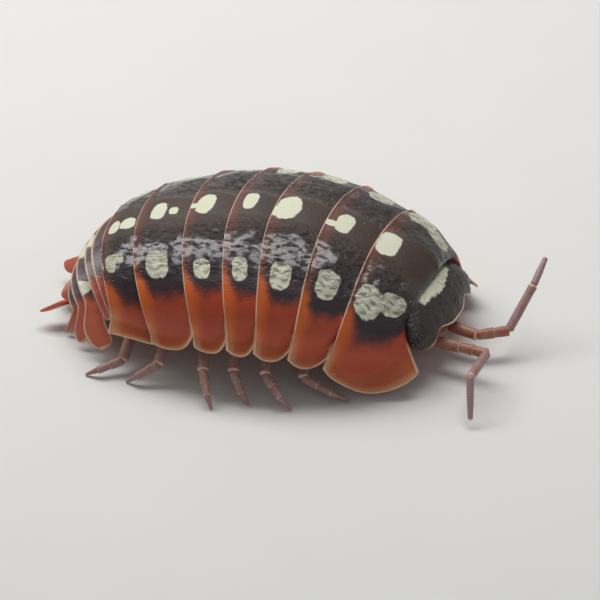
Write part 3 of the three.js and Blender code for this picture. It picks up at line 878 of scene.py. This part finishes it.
def head_place(u, v):
    ahead, half, top, bottom = curve_at(HEAD_RINGS, v)
    x, y = oval(2 * math.pi * u, HEAD_POWER)
    centre = lerp(top, bottom, CROWN_SHARE)
    reach = top - centre if y > 0 else centre - bottom
    ring = v * (len(HEAD_RINGS) - 1)
    rim = HEAD_RIM["high"] * hump(ring, HEAD_RIM["ring"], HEAD_RIM["rings"])
    notch = hump(ring, NOTCH["ring"], NOTCH["rings"]) * hump(abs(half * x), NOTCH["across"], NOTCH["wide"])
    ahead += rim * HEAD_RIM["lean"] - NOTCH["deep"] * notch
    point = head_point(ahead, (max(half, 0) + rim) * x, centre + (reach + rim) * y)
    lumps = noise.noise(point * 3.1) * 0.02 + noise.noise(point * 9.0) * 0.008
    return point + HEAD_AXES[2] * lumps * math.sin(math.pi * clamp(v))


def head_paint(looks):
    """Dark and grainy, with a cream band behind and a pale rim in front"""
    paint = Paint("head")
    _, v = paint.marks()
    ahead = paint.along(HEAD_AXES[0], HEAD_PLACE)
    across = paint.along(HEAD_AXES[1], HEAD_PLACE)
    up = paint.along(HEAD_AXES[2], HEAD_PLACE)
    fine = paint.grain(14.0, 3.0, 0.7)
    mottle = paint.grain(1.8, 3.0)
    body = paint.mix(looks.head, looks.back_side, mottle.step(0.4, 0.7))
    body = paint.mix(body, looks.margin, up.fall(-0.9, -0.45) * 0.9)
    body = paint.mix(body, looks.flank, up.fall(-1.35, -0.9))
    ragged = (paint.grain(5.0, 3.0) - 0.5) * 0.34
    band = (ahead + ragged + abs(across - 0.1) * 0.16).fall(0.40, 0.48) * across.step(-1.25, -1.05)
    band = band * across.fall(1.2, 1.4) * up.step(-0.75, -0.6)
    body = paint.mix(body, looks.cream, band)
    body = paint.mix(body, looks.grey_line, band * paint.grain(7.0, 2.0).step(0.58, 0.66) * 0.5)
    ring = 1 / (len(HEAD_RINGS) - 1)
    front_rim = abs(v - 6.95 * ring).fall(0.35 * ring, 0.6 * ring)
    rear_rim = abs(v - 2.2 * ring).fall(0.12 * ring, 0.3 * ring) * (1 - band)
    body = paint.mix(body, looks.rim, front_rim.most(rear_rim * 0.6) * 0.9)
    face = v.step(8.0 * ring, 8.6 * ring)
    body = paint.mix(body, looks.flesh, face)
    normal = paint.bump(paint.cells(8.0), 0.030 * looks.grit)
    normal = paint.bump(paint.grain(3.4, 4.0, 0.6), 0.10 * looks.wrinkles, normal)
    return paint.finish({
        "Base Color": body,
        "Roughness": 0.36 + fine * 0.14 + band * 0.1,
        "Normal": normal,
        "Coat Weight": 0.3,
        "Coat Roughness": 0.2,
    })


EYE = {"ahead": 0.86, "across": 2.02, "up": -0.50, "long": 0.36, "wide": 0.30, "high": 0.30}
EYE_ROWS = (4, 6, 6, 4)
EYE_TILTS = (-12, 74)
EYE_TURNS = (-62, 62)
EYE_BASE = 0.93
EYE_BEADS = 0.94
BEAD = 0.080


def ball_point(u, v):
    """A point of a ball; v runs from pole to pole and u round it"""
    polar, around = math.pi * v, 2 * math.pi * u
    return math.cos(polar), math.sin(polar) * math.cos(around), math.sin(polar) * math.sin(around)


def eye_mesh(name, side):
    """A dark base set with rows of small round beads"""
    centre = head_point(EYE["ahead"], side * EYE["across"], EYE["up"])
    sizes = Vector((EYE["long"], EYE["wide"], EYE["high"]))
    forward, left, above = HEAD_AXES

    def lay(direction, grow):
        d = Vector(direction).normalized()
        local = Vector((d.x * sizes.x, d.y * sizes.y, d.z * sizes.z)) * grow
        return centre + forward * local.x + left * side * local.y + above * local.z

    def base_place(u, v):
        return lay(ball_point(u, v), EYE_BASE)

    beads = [sleeve_piece(f"{name}_base", 24, 16, base_place)]
    for row, count in enumerate(EYE_ROWS):
        tilt = math.radians(lerp(*EYE_TILTS, row / (len(EYE_ROWS) - 1)))
        for i in range(count):
            turn = math.radians(lerp(*EYE_TURNS, (i + 0.5) / count))
            outwards = (math.sin(turn), math.cos(turn) * math.cos(tilt), math.cos(turn) * math.sin(tilt))
            deselect()
            spot = lay(outwards, EYE_BEADS) * MM
            bpy.ops.mesh.primitive_uv_sphere_add(segments=14, ring_count=9, radius=BEAD * MM, location=spot)
            bpy.ops.object.transform_apply(location=True, rotation=True, scale=True)
            bpy.context.object.data.uv_layers[0].name = "Marks"
            bpy.ops.object.shade_smooth()
            beads.append(bpy.context.object)
    return joined(name, beads)


def eye_paint(looks):
    paint = Paint("eye")
    shade = paint.grain(6.0)
    body = paint.mix(looks.eye, (0.02, 0.018, 0.022), shade)
    return paint.finish({
        "Base Color": body,
        "Roughness": 0.12 + shade * 0.1,
        "Coat Weight": 0.6,
        "Coat Roughness": 0.05,
    })


# Feelers and legs

# Joints of each feeler from its root to its tip, and the feet from the first pair to the last
FEELERS = {
    "right": [
        (6.86, -1.74, 1.00), (7.53, -1.93, 1.04), (8.50, -2.25, 1.10),
        (8.30, -4.00, 1.35), (8.45, -4.95, 0.32),
    ],
    "left": [
        (7.12, -0.76, 0.98), (7.94, -1.05, 0.96), (8.95, -0.65, 0.97),
        (9.61, 0.77, 2.00), (9.85, 1.75, 2.45),
    ],
}
FEET = {
    "right": [
        (5.70, -2.95), (4.08, -4.25), (2.19, -5.03), (0.65, -4.95),
        (-0.55, -5.40), (-3.90, -4.35), (-5.45, -4.15),
    ],
    "left": [
        (5.60, 2.05), (4.60, 5.00), (1.60, 5.35), (0.10, 5.45),
        (-1.90, 5.30), (-3.30, 4.75), (-5.30, 4.00),
    ],
}

# Where the joints of a leg lie, from its root inside the body to its foot
LEG = {
    "root_y": 0.50, "root_z": -0.10, "hip_share": 0.80, "hip_z": -0.52, "rim_out": 0.10, "rim_z": -0.98,
    "knee_in": 0.18, "shin": 0.62, "bow_out": 0.16, "bow_up": 0.12, "tip": 0.06,
}
LIMB_AROUND = 20
LIMB_ALONG = 18


def cross_axes(along):
    """Two directions square to a line and to each other"""
    side = along.cross(Vector((0, 0, 1)))
    if side.length < 1e-4:
        side = Vector((1, 0, 0))
    side.normalize()
    return side, side.cross(along).normalized()


# How far an article runs into the one beside it, how it swells, and the collar at its end
OVERRUN = 0.05
SWELL = 0.05
COLLAR = {"high": 0.07, "share": 0.93, "reach": 0.05}


def article(name, start, end, thin, thick):
    """One joint-to-joint length of a limb: narrow where it starts, with a collar where it ends"""
    reach = (end - start).normalized() * OVERRUN
    start, end = start - reach, end + reach
    along = end - start
    side, up = cross_axes(along)
    cap = min(0.6 * thin / along.length, 0.3)

    def place(u, v):
        radius = lerp(thin, thick, smooth(0, 1, v)) * (1 + SWELL * math.sin(math.pi * v))
        radius *= 1 + COLLAR["high"] * hump(v, COLLAR["share"], COLLAR["reach"])
        radius *= rounded_ends(v, cap, cap * 0.6)
        angle = 2 * math.pi * u
        return start + along * v + side * radius * math.cos(angle) + up * radius * math.sin(angle)

    return sleeve_piece(name, LIMB_AROUND, LIMB_ALONG, place)


SPINE_LENGTH = 0.13
SPINE_RADIUS = 0.014


def spine_ring(name, centre, along, radius, count, rng):
    """Short bristles round the far end of an article"""
    side, up = cross_axes(along)
    forward = along.normalized()
    spines = []
    for i in range(count):
        angle = 2 * math.pi * (i + rng.uniform(-0.2, 0.2)) / count
        out = side * math.cos(angle) + up * math.sin(angle)
        base = centre + out * radius * 0.85
        tip = base + (forward * 0.8 + out * 0.6) * SPINE_LENGTH * rng.uniform(0.7, 1.1)

        def place(u, v, base=base, line=tip - base):
            aside, above = cross_axes(line)
            reach = SPINE_RADIUS * (1 - v) if 0 < v < 1 else 0
            turn = 2 * math.pi * u
            return base + line * v + aside * reach * math.cos(turn) + above * reach * math.sin(turn)

        spines.append(sleeve_piece(name, 5, 3, place))
    return spines


def limb(name, points, radii, bristles, seed):
    """A chain of articles through points, each with its own start and end radius"""
    rng = random.Random(seed)
    pieces = []
    for i, (a, b) in enumerate(zip(points, points[1:])):
        thin, thick = radii[i]
        pieces.append(article(f"{name}_{i}", a, b, thin, thick))
        if bristles[i]:
            end = a.lerp(b, 0.95)
            pieces += spine_ring(f"{name}_spine", end, b - a, thick, bristles[i], rng)
    return joined(name, pieces)


def feeler_parts(side):
    """Points and radii of a feeler, in the three lengths that its CAD nodes have"""
    base, ring, elbow, wrist, tip = (Vector(p) - BOX_CENTRE for p in FEELERS[side])
    root = base + (base - ring).normalized() * 0.25
    knuckle = ring.lerp(elbow, 0.52)
    joint = wrist.lerp(tip, 0.52)
    return {
        "base": ([root, ring, knuckle, elbow], [(0.20, 0.19), (0.17, 0.19), (0.17, 0.18)]),
        "middle": ([elbow, wrist], [(0.155, 0.15)]),
        "tip": ([wrist, joint, tip], [(0.125, 0.12), (0.115, 0.085)]),
    }


def leg_points(number, side):
    s = (STATIONS[number]["s"] + STATIONS[number + 1]["s"]) / 2
    width = size_at("half", s)
    sign = SIDES[side]
    foot = Vector((*FEET[side][number], 0)) - BOX_CENTRE
    root = body_point(s, sign * width * LEG["root_y"], LEG["root_z"])
    hip = body_point(s, sign * width * LEG["hip_share"], LEG["hip_z"])
    rim = body_point(s, sign * (width + LEG["rim_out"]), LEG["rim_z"])
    knee = rim.lerp(foot, LEG["knee_in"])
    ankle = knee.lerp(foot, LEG["shin"]) + Vector((0, sign * LEG["bow_out"], LEG["bow_up"]))
    foot.z = LEG["tip"]
    return [root, hip, knee, knee.lerp(ankle, 0.5), ankle, foot]


LEG_RADII = [(0.22, 0.22), (0.19, 0.19), (0.155, 0.16), (0.13, 0.135), (0.105, 0.05)]
LEG_BRISTLES = [0, 4, 5, 5, 0]


def limb_paint(name, colour, tip_colour, looks):
    """Brown-pink limb with speckles and a pale ring at the end of each article"""
    paint = Paint(name)
    _, v = paint.marks()
    fine = paint.grain(12.0, 3.0, 0.7)
    mottle = paint.grain(3.0, 3.0)
    body = paint.mix(colour, tip_colour, mottle.step(0.35, 0.65))
    body = paint.mix(body, looks.limb_dark, fine.step(0.52, 0.66) * 0.45)
    body = paint.mix(body, looks.rim, v.step(0.90, 0.95) * 0.75)
    return paint.finish({
        "Base Color": body,
        "Roughness": 0.40 + fine * 0.15,
        "Normal": paint.bump(paint.grain(10.0, 3.0), 0.02 * looks.grit),
        "Coat Weight": 0.2,
        "Coat Roughness": 0.3,
    })


# Soft parts

MOUTH = {"ahead": 0.95, "up": -1.92, "long": 0.52, "wide": 0.72, "high": 0.42}


def mouth_place(u, v):
    x, y, z = ball_point(u, v)
    groove = 1 - 0.16 * math.exp(-(y / 0.10) ** 2) - 0.06 * math.cos(9 * math.acos(clamp(x, -1, 1)))
    return head_point(
        MOUTH["ahead"] + MOUTH["long"] * x * groove,
        MOUTH["wide"] * y * groove,
        MOUTH["up"] + MOUTH["high"] * z * groove,
    )


# The skin keeps inside the plates by this much; its belly is flatter, and folds in at each plate's edge
SKIN_IN = 0.46
SKIN_MIDDLE = 0.24
BELLY_DEPTH = 0.28
FOLD = {"deep": 0.07, "reach": 0.16}
SKIN_ENDS = (0.05, 0.04)


def skin_place(u, v):
    """The soft body under the plates, with a fold on the belly for each plate"""
    s = lerp(FRONT_S + 0.5, REAR_S - 0.05, v)
    half, height = size_at("half", s) - SKIN_IN, size_at("height", s) - SKIN_IN
    x, y = oval(2 * math.pi * u, ARCH_POWER)
    ends = rounded_ends(v, *SKIN_ENDS)
    nearest = min(STATIONS, key=lambda row: abs(row["s"] - s))
    fold = FOLD["deep"] * hump(s, nearest["s"], FOLD["reach"])
    z = height * y if y > 0 else (BELLY_DEPTH - fold) * y
    across = half * x * ends
    return body_point(s + sweep_at(s, across), across, SKIN_MIDDLE + z * ends)


def flesh_paint(name, colour, deep, looks):
    """Soft mottled skin"""
    paint = Paint(name)
    mottle = paint.grain(2.4, 3.0)
    fine = paint.grain(13.0, 3.0)
    body = paint.mix(colour, deep, mottle.step(0.35, 0.65))
    return paint.finish({
        "Base Color": body,
        "Roughness": 0.38 + fine * 0.14,
        "Normal": paint.bump(paint.grain(6.0, 4.0), 0.05 * looks.wrinkles),
    })


# Settings

class WoodlouseSizes(bpy.types.PropertyGroup):
    """Sizes that may be changed before the model is made"""

    shell_thickness: FloatProperty(
        name="Shell thickness", description="Thickness of the shell plates, in millimetres", default=0.10)
    wrinkle_height: FloatProperty(
        name="Wrinkle height", description="Height of soft waves in the shell, in millimetres", default=0.035)
    plate_columns: IntProperty(
        name="Plate columns", description="Faces across each trunk plate before smoothing", default=104)
    plate_rows: IntProperty(
        name="Plate rows", description="Faces along each trunk plate before smoothing", default=30)


def colour_setting(name, description, default):
    return FloatVectorProperty(
        name=name, description=description, subtype="COLOR", size=3, min=0, max=1, default=default)


class WoodlouseLooks(bpy.types.PropertyGroup):
    """Colours and reliefs of the animal"""

    back: colour_setting("Back", "Brown of the back along the middle", (0.062, 0.038, 0.029))
    back_side: colour_setting("Side of the back", "Purple-black beside the middle", (0.027, 0.014, 0.020))
    margin: colour_setting("Rear margin", "Red-brown along each plate's rear edge", (0.175, 0.052, 0.032))
    flank: colour_setting("Flank", "Deep red-orange of the sides", (0.43, 0.052, 0.012))
    flank_bright: colour_setting("Bright flank", "Orange near each rear edge", (0.64, 0.125, 0.014))
    flank_low: colour_setting("Low flank", "Brownish orange near the lower edge", (0.50, 0.115, 0.030))
    rim_wide: colour_setting("Wide rim", "Beige inside the lower rims", (0.62, 0.32, 0.15))
    rim: colour_setting("Rim", "Pale thin edge of each plate", (0.74, 0.50, 0.36))
    cream: colour_setting("Cream", "Spots on the back and head", (0.74, 0.74, 0.56))
    grey_line: colour_setting("Grey lines", "Lines that cross the spots at the sides", (0.20, 0.20, 0.17))
    tail_back: colour_setting("Tail", "Dark grey of the tail bands", (0.070, 0.045, 0.050))
    salmon: colour_setting("Salmon", "Tail lobes", (0.62, 0.15, 0.08))
    salmon_deep: colour_setting("Deep salmon", "Darker part of the tail lobes", (0.40, 0.065, 0.035))
    head: colour_setting("Head", "Dark brown of the head", (0.035, 0.025, 0.022))
    flesh: colour_setting("Flesh", "Soft parts of the face", (0.36, 0.10, 0.055))
    belly: colour_setting("Belly", "Soft body under the plates", (0.32, 0.12, 0.075))
    limb: colour_setting("Limb", "Brown-pink of legs and feelers", (0.36, 0.175, 0.125))
    limb_lilac: colour_setting("Lilac", "Lilac of the feelers' ends", (0.36, 0.22, 0.225))
    limb_dark: colour_setting("Speckles", "Dark speckles on legs and feelers", (0.10, 0.05, 0.045))
    eye: colour_setting("Eye", "Black of the eye's beads", (0.004, 0.004, 0.005))
    floor: colour_setting("Floor", "Plain pale floor", (0.80, 0.79, 0.76))
    grit: FloatProperty(name="Grit", description="Depth of the fine grains", default=1.0)
    wrinkles: FloatProperty(name="Wrinkles", description="Depth of the fine wrinkles", default=1.0)


class WoodlouseStage(bpy.types.PropertyGroup):
    """Camera and lights"""

    azimuth: FloatProperty(
        name="Azimuth", description="Camera's turn about the animal, in degrees", default=18.43)
    elevation: FloatProperty(
        name="Elevation", description="Camera's height angle, in degrees", default=34.29)
    roll: FloatProperty(
        name="Roll", description="Camera's roll, in degrees", default=-5.83)
    distance: FloatProperty(
        name="Distance", description="From the camera to the body, in millimetres", default=110)
    lens: FloatProperty(
        name="Lens", description="Focal length in millimetres, on a sensor 36 mm wide", default=186.4)
    key_power: FloatProperty(
        name="Overhead light", description="Power of the soft light above, in watts", default=0.092)
    fill_power: FloatProperty(
        name="Fill light", description="Power of the soft light in front, in watts", default=0.011)


# Operators

def user_settings(context):
    scene = context.scene
    return scene.woodlouse_sizes, scene.woodlouse_looks, scene.woodlouse_stage


class WOODLOUSE_OT_trunk(bpy.types.Operator):
    """Seven overlapping trunk plates"""

    bl_idname = "woodlouse.trunk"
    bl_label = "Trunk plates"

    def execute(self, context):
        sizes, looks, _ = user_settings(context)
        for number, row in enumerate(TRUNK):
            girth = girth_of(number)
            name = f"plate_{number + 1}"
            place = plate_place(number, girth, sizes)
            marks = plate_marks(number, girth)
            columns, rows = sizes.plate_columns, sizes.plate_rows
            piece = shell_piece(name, columns, rows, place, marks, sizes.shell_thickness)
            paint = plate_paint(number, girth, row["length"], looks)
            done(piece, paint, "shell", f"pereonite_{number + 1}")
        return {"FINISHED"}


class WOODLOUSE_OT_tail(bpy.types.Operator):
    """Five tail bands, the last three with lobes at their ends"""

    bl_idname = "woodlouse.tail"
    bl_label = "Tail bands"

    def execute(self, context):
        sizes, looks, _ = user_settings(context)
        for index in range(len(TAIL)):
            name = f"tail_band_{index + 1}"
            place = band_place(index)
            columns, thickness = sizes.plate_columns, sizes.shell_thickness
            piece = shell_piece(name, columns, BAND_ROWS, place, plain_marks, thickness)
            done(piece, tail_paint(index, looks), "shell", "pleon")
        return {"FINISHED"}


class WOODLOUSE_OT_tail_end(bpy.types.Operator):
    """Telson between two flat blades"""

    bl_idname = "woodlouse.tail_end"
    bl_label = "Telson and uropods"

    def execute(self, context):
        _, looks, _ = user_settings(context)
        paint = salmon_paint(looks)
        done(sleeve_piece("telson_plate", 36, 24, telson_place, levels=1), paint, "shell", "telson")
        for side, sign in SIDES.items():
            piece = sleeve_piece(f"blade_{side}", 28, 24, blade_place(sign), levels=1)
            done(piece, paint, "shell", f"uropod_{side}")
        return {"FINISHED"}


class WOODLOUSE_OT_head(bpy.types.Operator):
    """Head with its front rim, and the mouthparts under it"""

    bl_idname = "woodlouse.head"
    bl_label = "Head"

    def execute(self, context):
        _, looks, _ = user_settings(context)
        done(sleeve_piece("head_shell", 96, 88, head_place, levels=1), head_paint(looks), "shell", "head")
        flesh = flesh_paint("mouth", looks.flesh, looks.flank, looks)
        done(sleeve_piece("mouth", 64, 48, mouth_place, levels=1), flesh, "limb", "mouthparts")
        return {"FINISHED"}


class WOODLOUSE_OT_eyes(bpy.types.Operator):
    """Two eyes of small black beads"""

    bl_idname = "woodlouse.eyes"
    bl_label = "Eyes"

    def execute(self, context):
        _, looks, _ = user_settings(context)
        paint = eye_paint(looks)
        for side, sign in SIDES.items():
            done(eye_mesh(f"beads_{side}", sign), paint, "eye", f"eye_{side}")
        return {"FINISHED"}


class WOODLOUSE_OT_feelers(bpy.types.Operator):
    """Two bent feelers in articles"""

    bl_idname = "woodlouse.feelers"
    bl_label = "Feelers"

    def execute(self, context):
        _, looks, _ = user_settings(context)
        paints = {
            "base": limb_paint("feeler_base", looks.limb, looks.flesh, looks),
            "middle": limb_paint("feeler_middle", looks.limb, looks.limb_lilac, looks),
            "tip": limb_paint("feeler_tip", looks.limb_lilac, looks.limb_lilac, looks),
        }
        for side in SIDES:
            for length, (points, radii) in feeler_parts(side).items():
                piece = limb(f"feeler_{side}_{length}", points, radii, [0] * len(radii), len(points))
                done(piece, paints[length], "limb", f"antenna_{side}_{length}")
        return {"FINISHED"}


class WOODLOUSE_OT_legs(bpy.types.Operator):
    """Fourteen jointed legs with bristles"""

    bl_idname = "woodlouse.legs"
    bl_label = "Legs"

    def execute(self, context):
        _, looks, _ = user_settings(context)
        paint = limb_paint("leg", looks.limb, looks.limb_lilac, looks)
        for side in SIDES:
            for number in range(len(TRUNK)):
                points = leg_points(number, side)
                piece = limb(f"walking_leg_{side}_{number + 1}", points, LEG_RADII, LEG_BRISTLES, number)
                done(piece, paint, "limb", f"leg_{side}_{number + 1}")
        return {"FINISHED"}


class WOODLOUSE_OT_skin(bpy.types.Operator):
    """Soft body under the plates"""

    bl_idname = "woodlouse.skin"
    bl_label = "Soft body"

    def execute(self, context):
        _, looks, _ = user_settings(context)
        paint = flesh_paint("belly", looks.belly, looks.flesh, looks)
        done(sleeve_piece("soft_body", 64, 150, skin_place), paint, "limb")
        return {"FINISHED"}


# The floor's width, in metres, the light from all round, and each soft panel: its place in millimetres,
# its length and width in metres, and its share of the power that the settings give
FLOOR_SIZE = 0.6
WORLD_COLOUR = (0.96, 0.98, 1.0, 1)
WORLD_GREY = 0.20
PANELS = {
    "overhead": {"place": (-24, 32, 88), "size": (0.130, 0.038), "power": "key_power", "share": 1},
    "front": {"place": (60, -90, 60), "size": (0.09, 0.09), "power": "fill_power", "share": 1},
    "back": {"place": (-40, 110, 60), "size": (0.09, 0.09), "power": "fill_power", "share": 0.8},
}

# Where the camera stands and aims, to its right and above the middle of the body, in millimetres
EYE_OFFSET = (-0.584, 0.190)
AIM_OFFSET = (1.895, -1.227)
SENSOR = 36


class WOODLOUSE_OT_stage(bpy.types.Operator):
    """Plain floor, soft lights and the camera"""

    bl_idname = "woodlouse.stage"
    bl_label = "Stage"

    def execute(self, context):
        _, looks, stage = user_settings(context)
        deselect()
        bpy.ops.mesh.primitive_plane_add(size=FLOOR_SIZE, location=(0, 0, 0))
        floor = context.object
        floor.name = "floor"
        paint = Paint("floor")
        body = paint.mix(looks.floor, tuple(0.96 * c for c in looks.floor), paint.grain(0.2))
        floor.data.materials.append(paint.finish({"Base Color": body, "Roughness": 0.9}))
        for name, panel in PANELS.items():
            power = getattr(stage, panel["power"]) * panel["share"]
            self.light(name, panel["place"], panel["size"], power)
        world = bpy.data.worlds.new("studio")
        world.use_nodes = True
        background = world.node_tree.nodes["Background"]
        background.inputs["Color"].default_value = WORLD_COLOUR
        background.inputs["Strength"].default_value = WORLD_GREY
        context.scene.world = world
        context.scene.view_settings.view_transform = "Standard"
        self.camera(context, stage)
        return {"FINISHED"}

    def light(self, name, place, size, power):
        """A soft panel that faces the animal, with its long side along the body"""
        deselect()
        bpy.ops.object.light_add(type="AREA", location=Vector(place) * MM)
        lamp = bpy.context.object
        lamp.name = name
        lamp.data.shape = "RECTANGLE"
        lamp.data.size, lamp.data.size_y = size
        lamp.data.energy = power
        out = Vector(place).normalized()
        along = (Vector((1, 0, 0)) - out * out.x).normalized()
        turn = Matrix((along, out.cross(along), out)).transposed()
        lamp.rotation_euler = turn.to_euler()

    def camera(self, context, stage):
        """The camera's axes come from its azimuth, elevation and roll; the offsets place the framing"""
        azimuth, elevation, roll = (math.radians(a) for a in (stage.azimuth, stage.elevation, stage.roll))
        back = Vector((
            math.sin(azimuth) * math.cos(elevation),
            -math.cos(azimuth) * math.cos(elevation),
            math.sin(elevation),
        ))
        level = Vector((math.cos(azimuth), math.sin(azimuth), 0))
        upright = back.cross(level)
        right = level * math.cos(roll) + upright * math.sin(roll)
        up = upright * math.cos(roll) - level * math.sin(roll)
        body = MIDDLE - BOX_CENTRE
        eye = body + back * stage.distance + right * EYE_OFFSET[0] + up * EYE_OFFSET[1]
        aim = body + right * AIM_OFFSET[0] + up * AIM_OFFSET[1]
        out = (eye - aim).normalized()
        right = up.cross(out).normalized()
        turn = Matrix((right, out.cross(right), out)).transposed()
        deselect()
        bpy.ops.object.camera_add(location=eye * MM)
        camera = context.object
        camera.name = "camera"
        camera.matrix_world = Matrix.Translation(eye * MM) @ turn.to_4x4()
        camera.data.lens = stage.lens
        camera.data.sensor_width = SENSOR
        camera.data.clip_start = 0.002
        camera.data.clip_end = 5
        context.scene.camera = camera


OPERATORS = (
    WOODLOUSE_OT_stage,
    WOODLOUSE_OT_skin,
    WOODLOUSE_OT_trunk,
    WOODLOUSE_OT_tail,
    WOODLOUSE_OT_tail_end,
    WOODLOUSE_OT_head,
    WOODLOUSE_OT_eyes,
    WOODLOUSE_OT_feelers,
    WOODLOUSE_OT_legs,
)


class WOODLOUSE_PT_panel(bpy.types.Panel):
    """Lists the pieces of the woodlouse"""

    bl_idname = "WOODLOUSE_PT_panel"
    bl_label = "Woodlouse"
    bl_space_type = "VIEW_3D"
    bl_region_type = "UI"
    bl_category = "Woodlouse"

    def draw(self, context):
        for operator in OPERATORS:
            self.layout.operator(operator.bl_idname)
        for group in user_settings(context):
            for key in group.bl_rna.properties.keys()[1:]:
                if key != "name":
                    self.layout.prop(group, key)


CLASSES = (WoodlouseSizes, WoodlouseLooks, WoodlouseStage, *OPERATORS, WOODLOUSE_PT_panel)


def register():
    for cls in CLASSES:
        bpy.utils.register_class(cls)
    bpy.types.Scene.woodlouse_sizes = PointerProperty(type=WoodlouseSizes)
    bpy.types.Scene.woodlouse_looks = PointerProperty(type=WoodlouseLooks)
    bpy.types.Scene.woodlouse_stage = PointerProperty(type=WoodlouseStage)


def unregister():
    del bpy.types.Scene.woodlouse_stage
    del bpy.types.Scene.woodlouse_looks
    del bpy.types.Scene.woodlouse_sizes
    for cls in reversed(CLASSES):
        bpy.utils.unregister_class(cls)


def main():
    register()
    for operator in OPERATORS:
        group, name = operator.bl_idname.split(".")
        getattr(getattr(bpy.ops, group), name)()


if __name__ == "__main__":
    main()
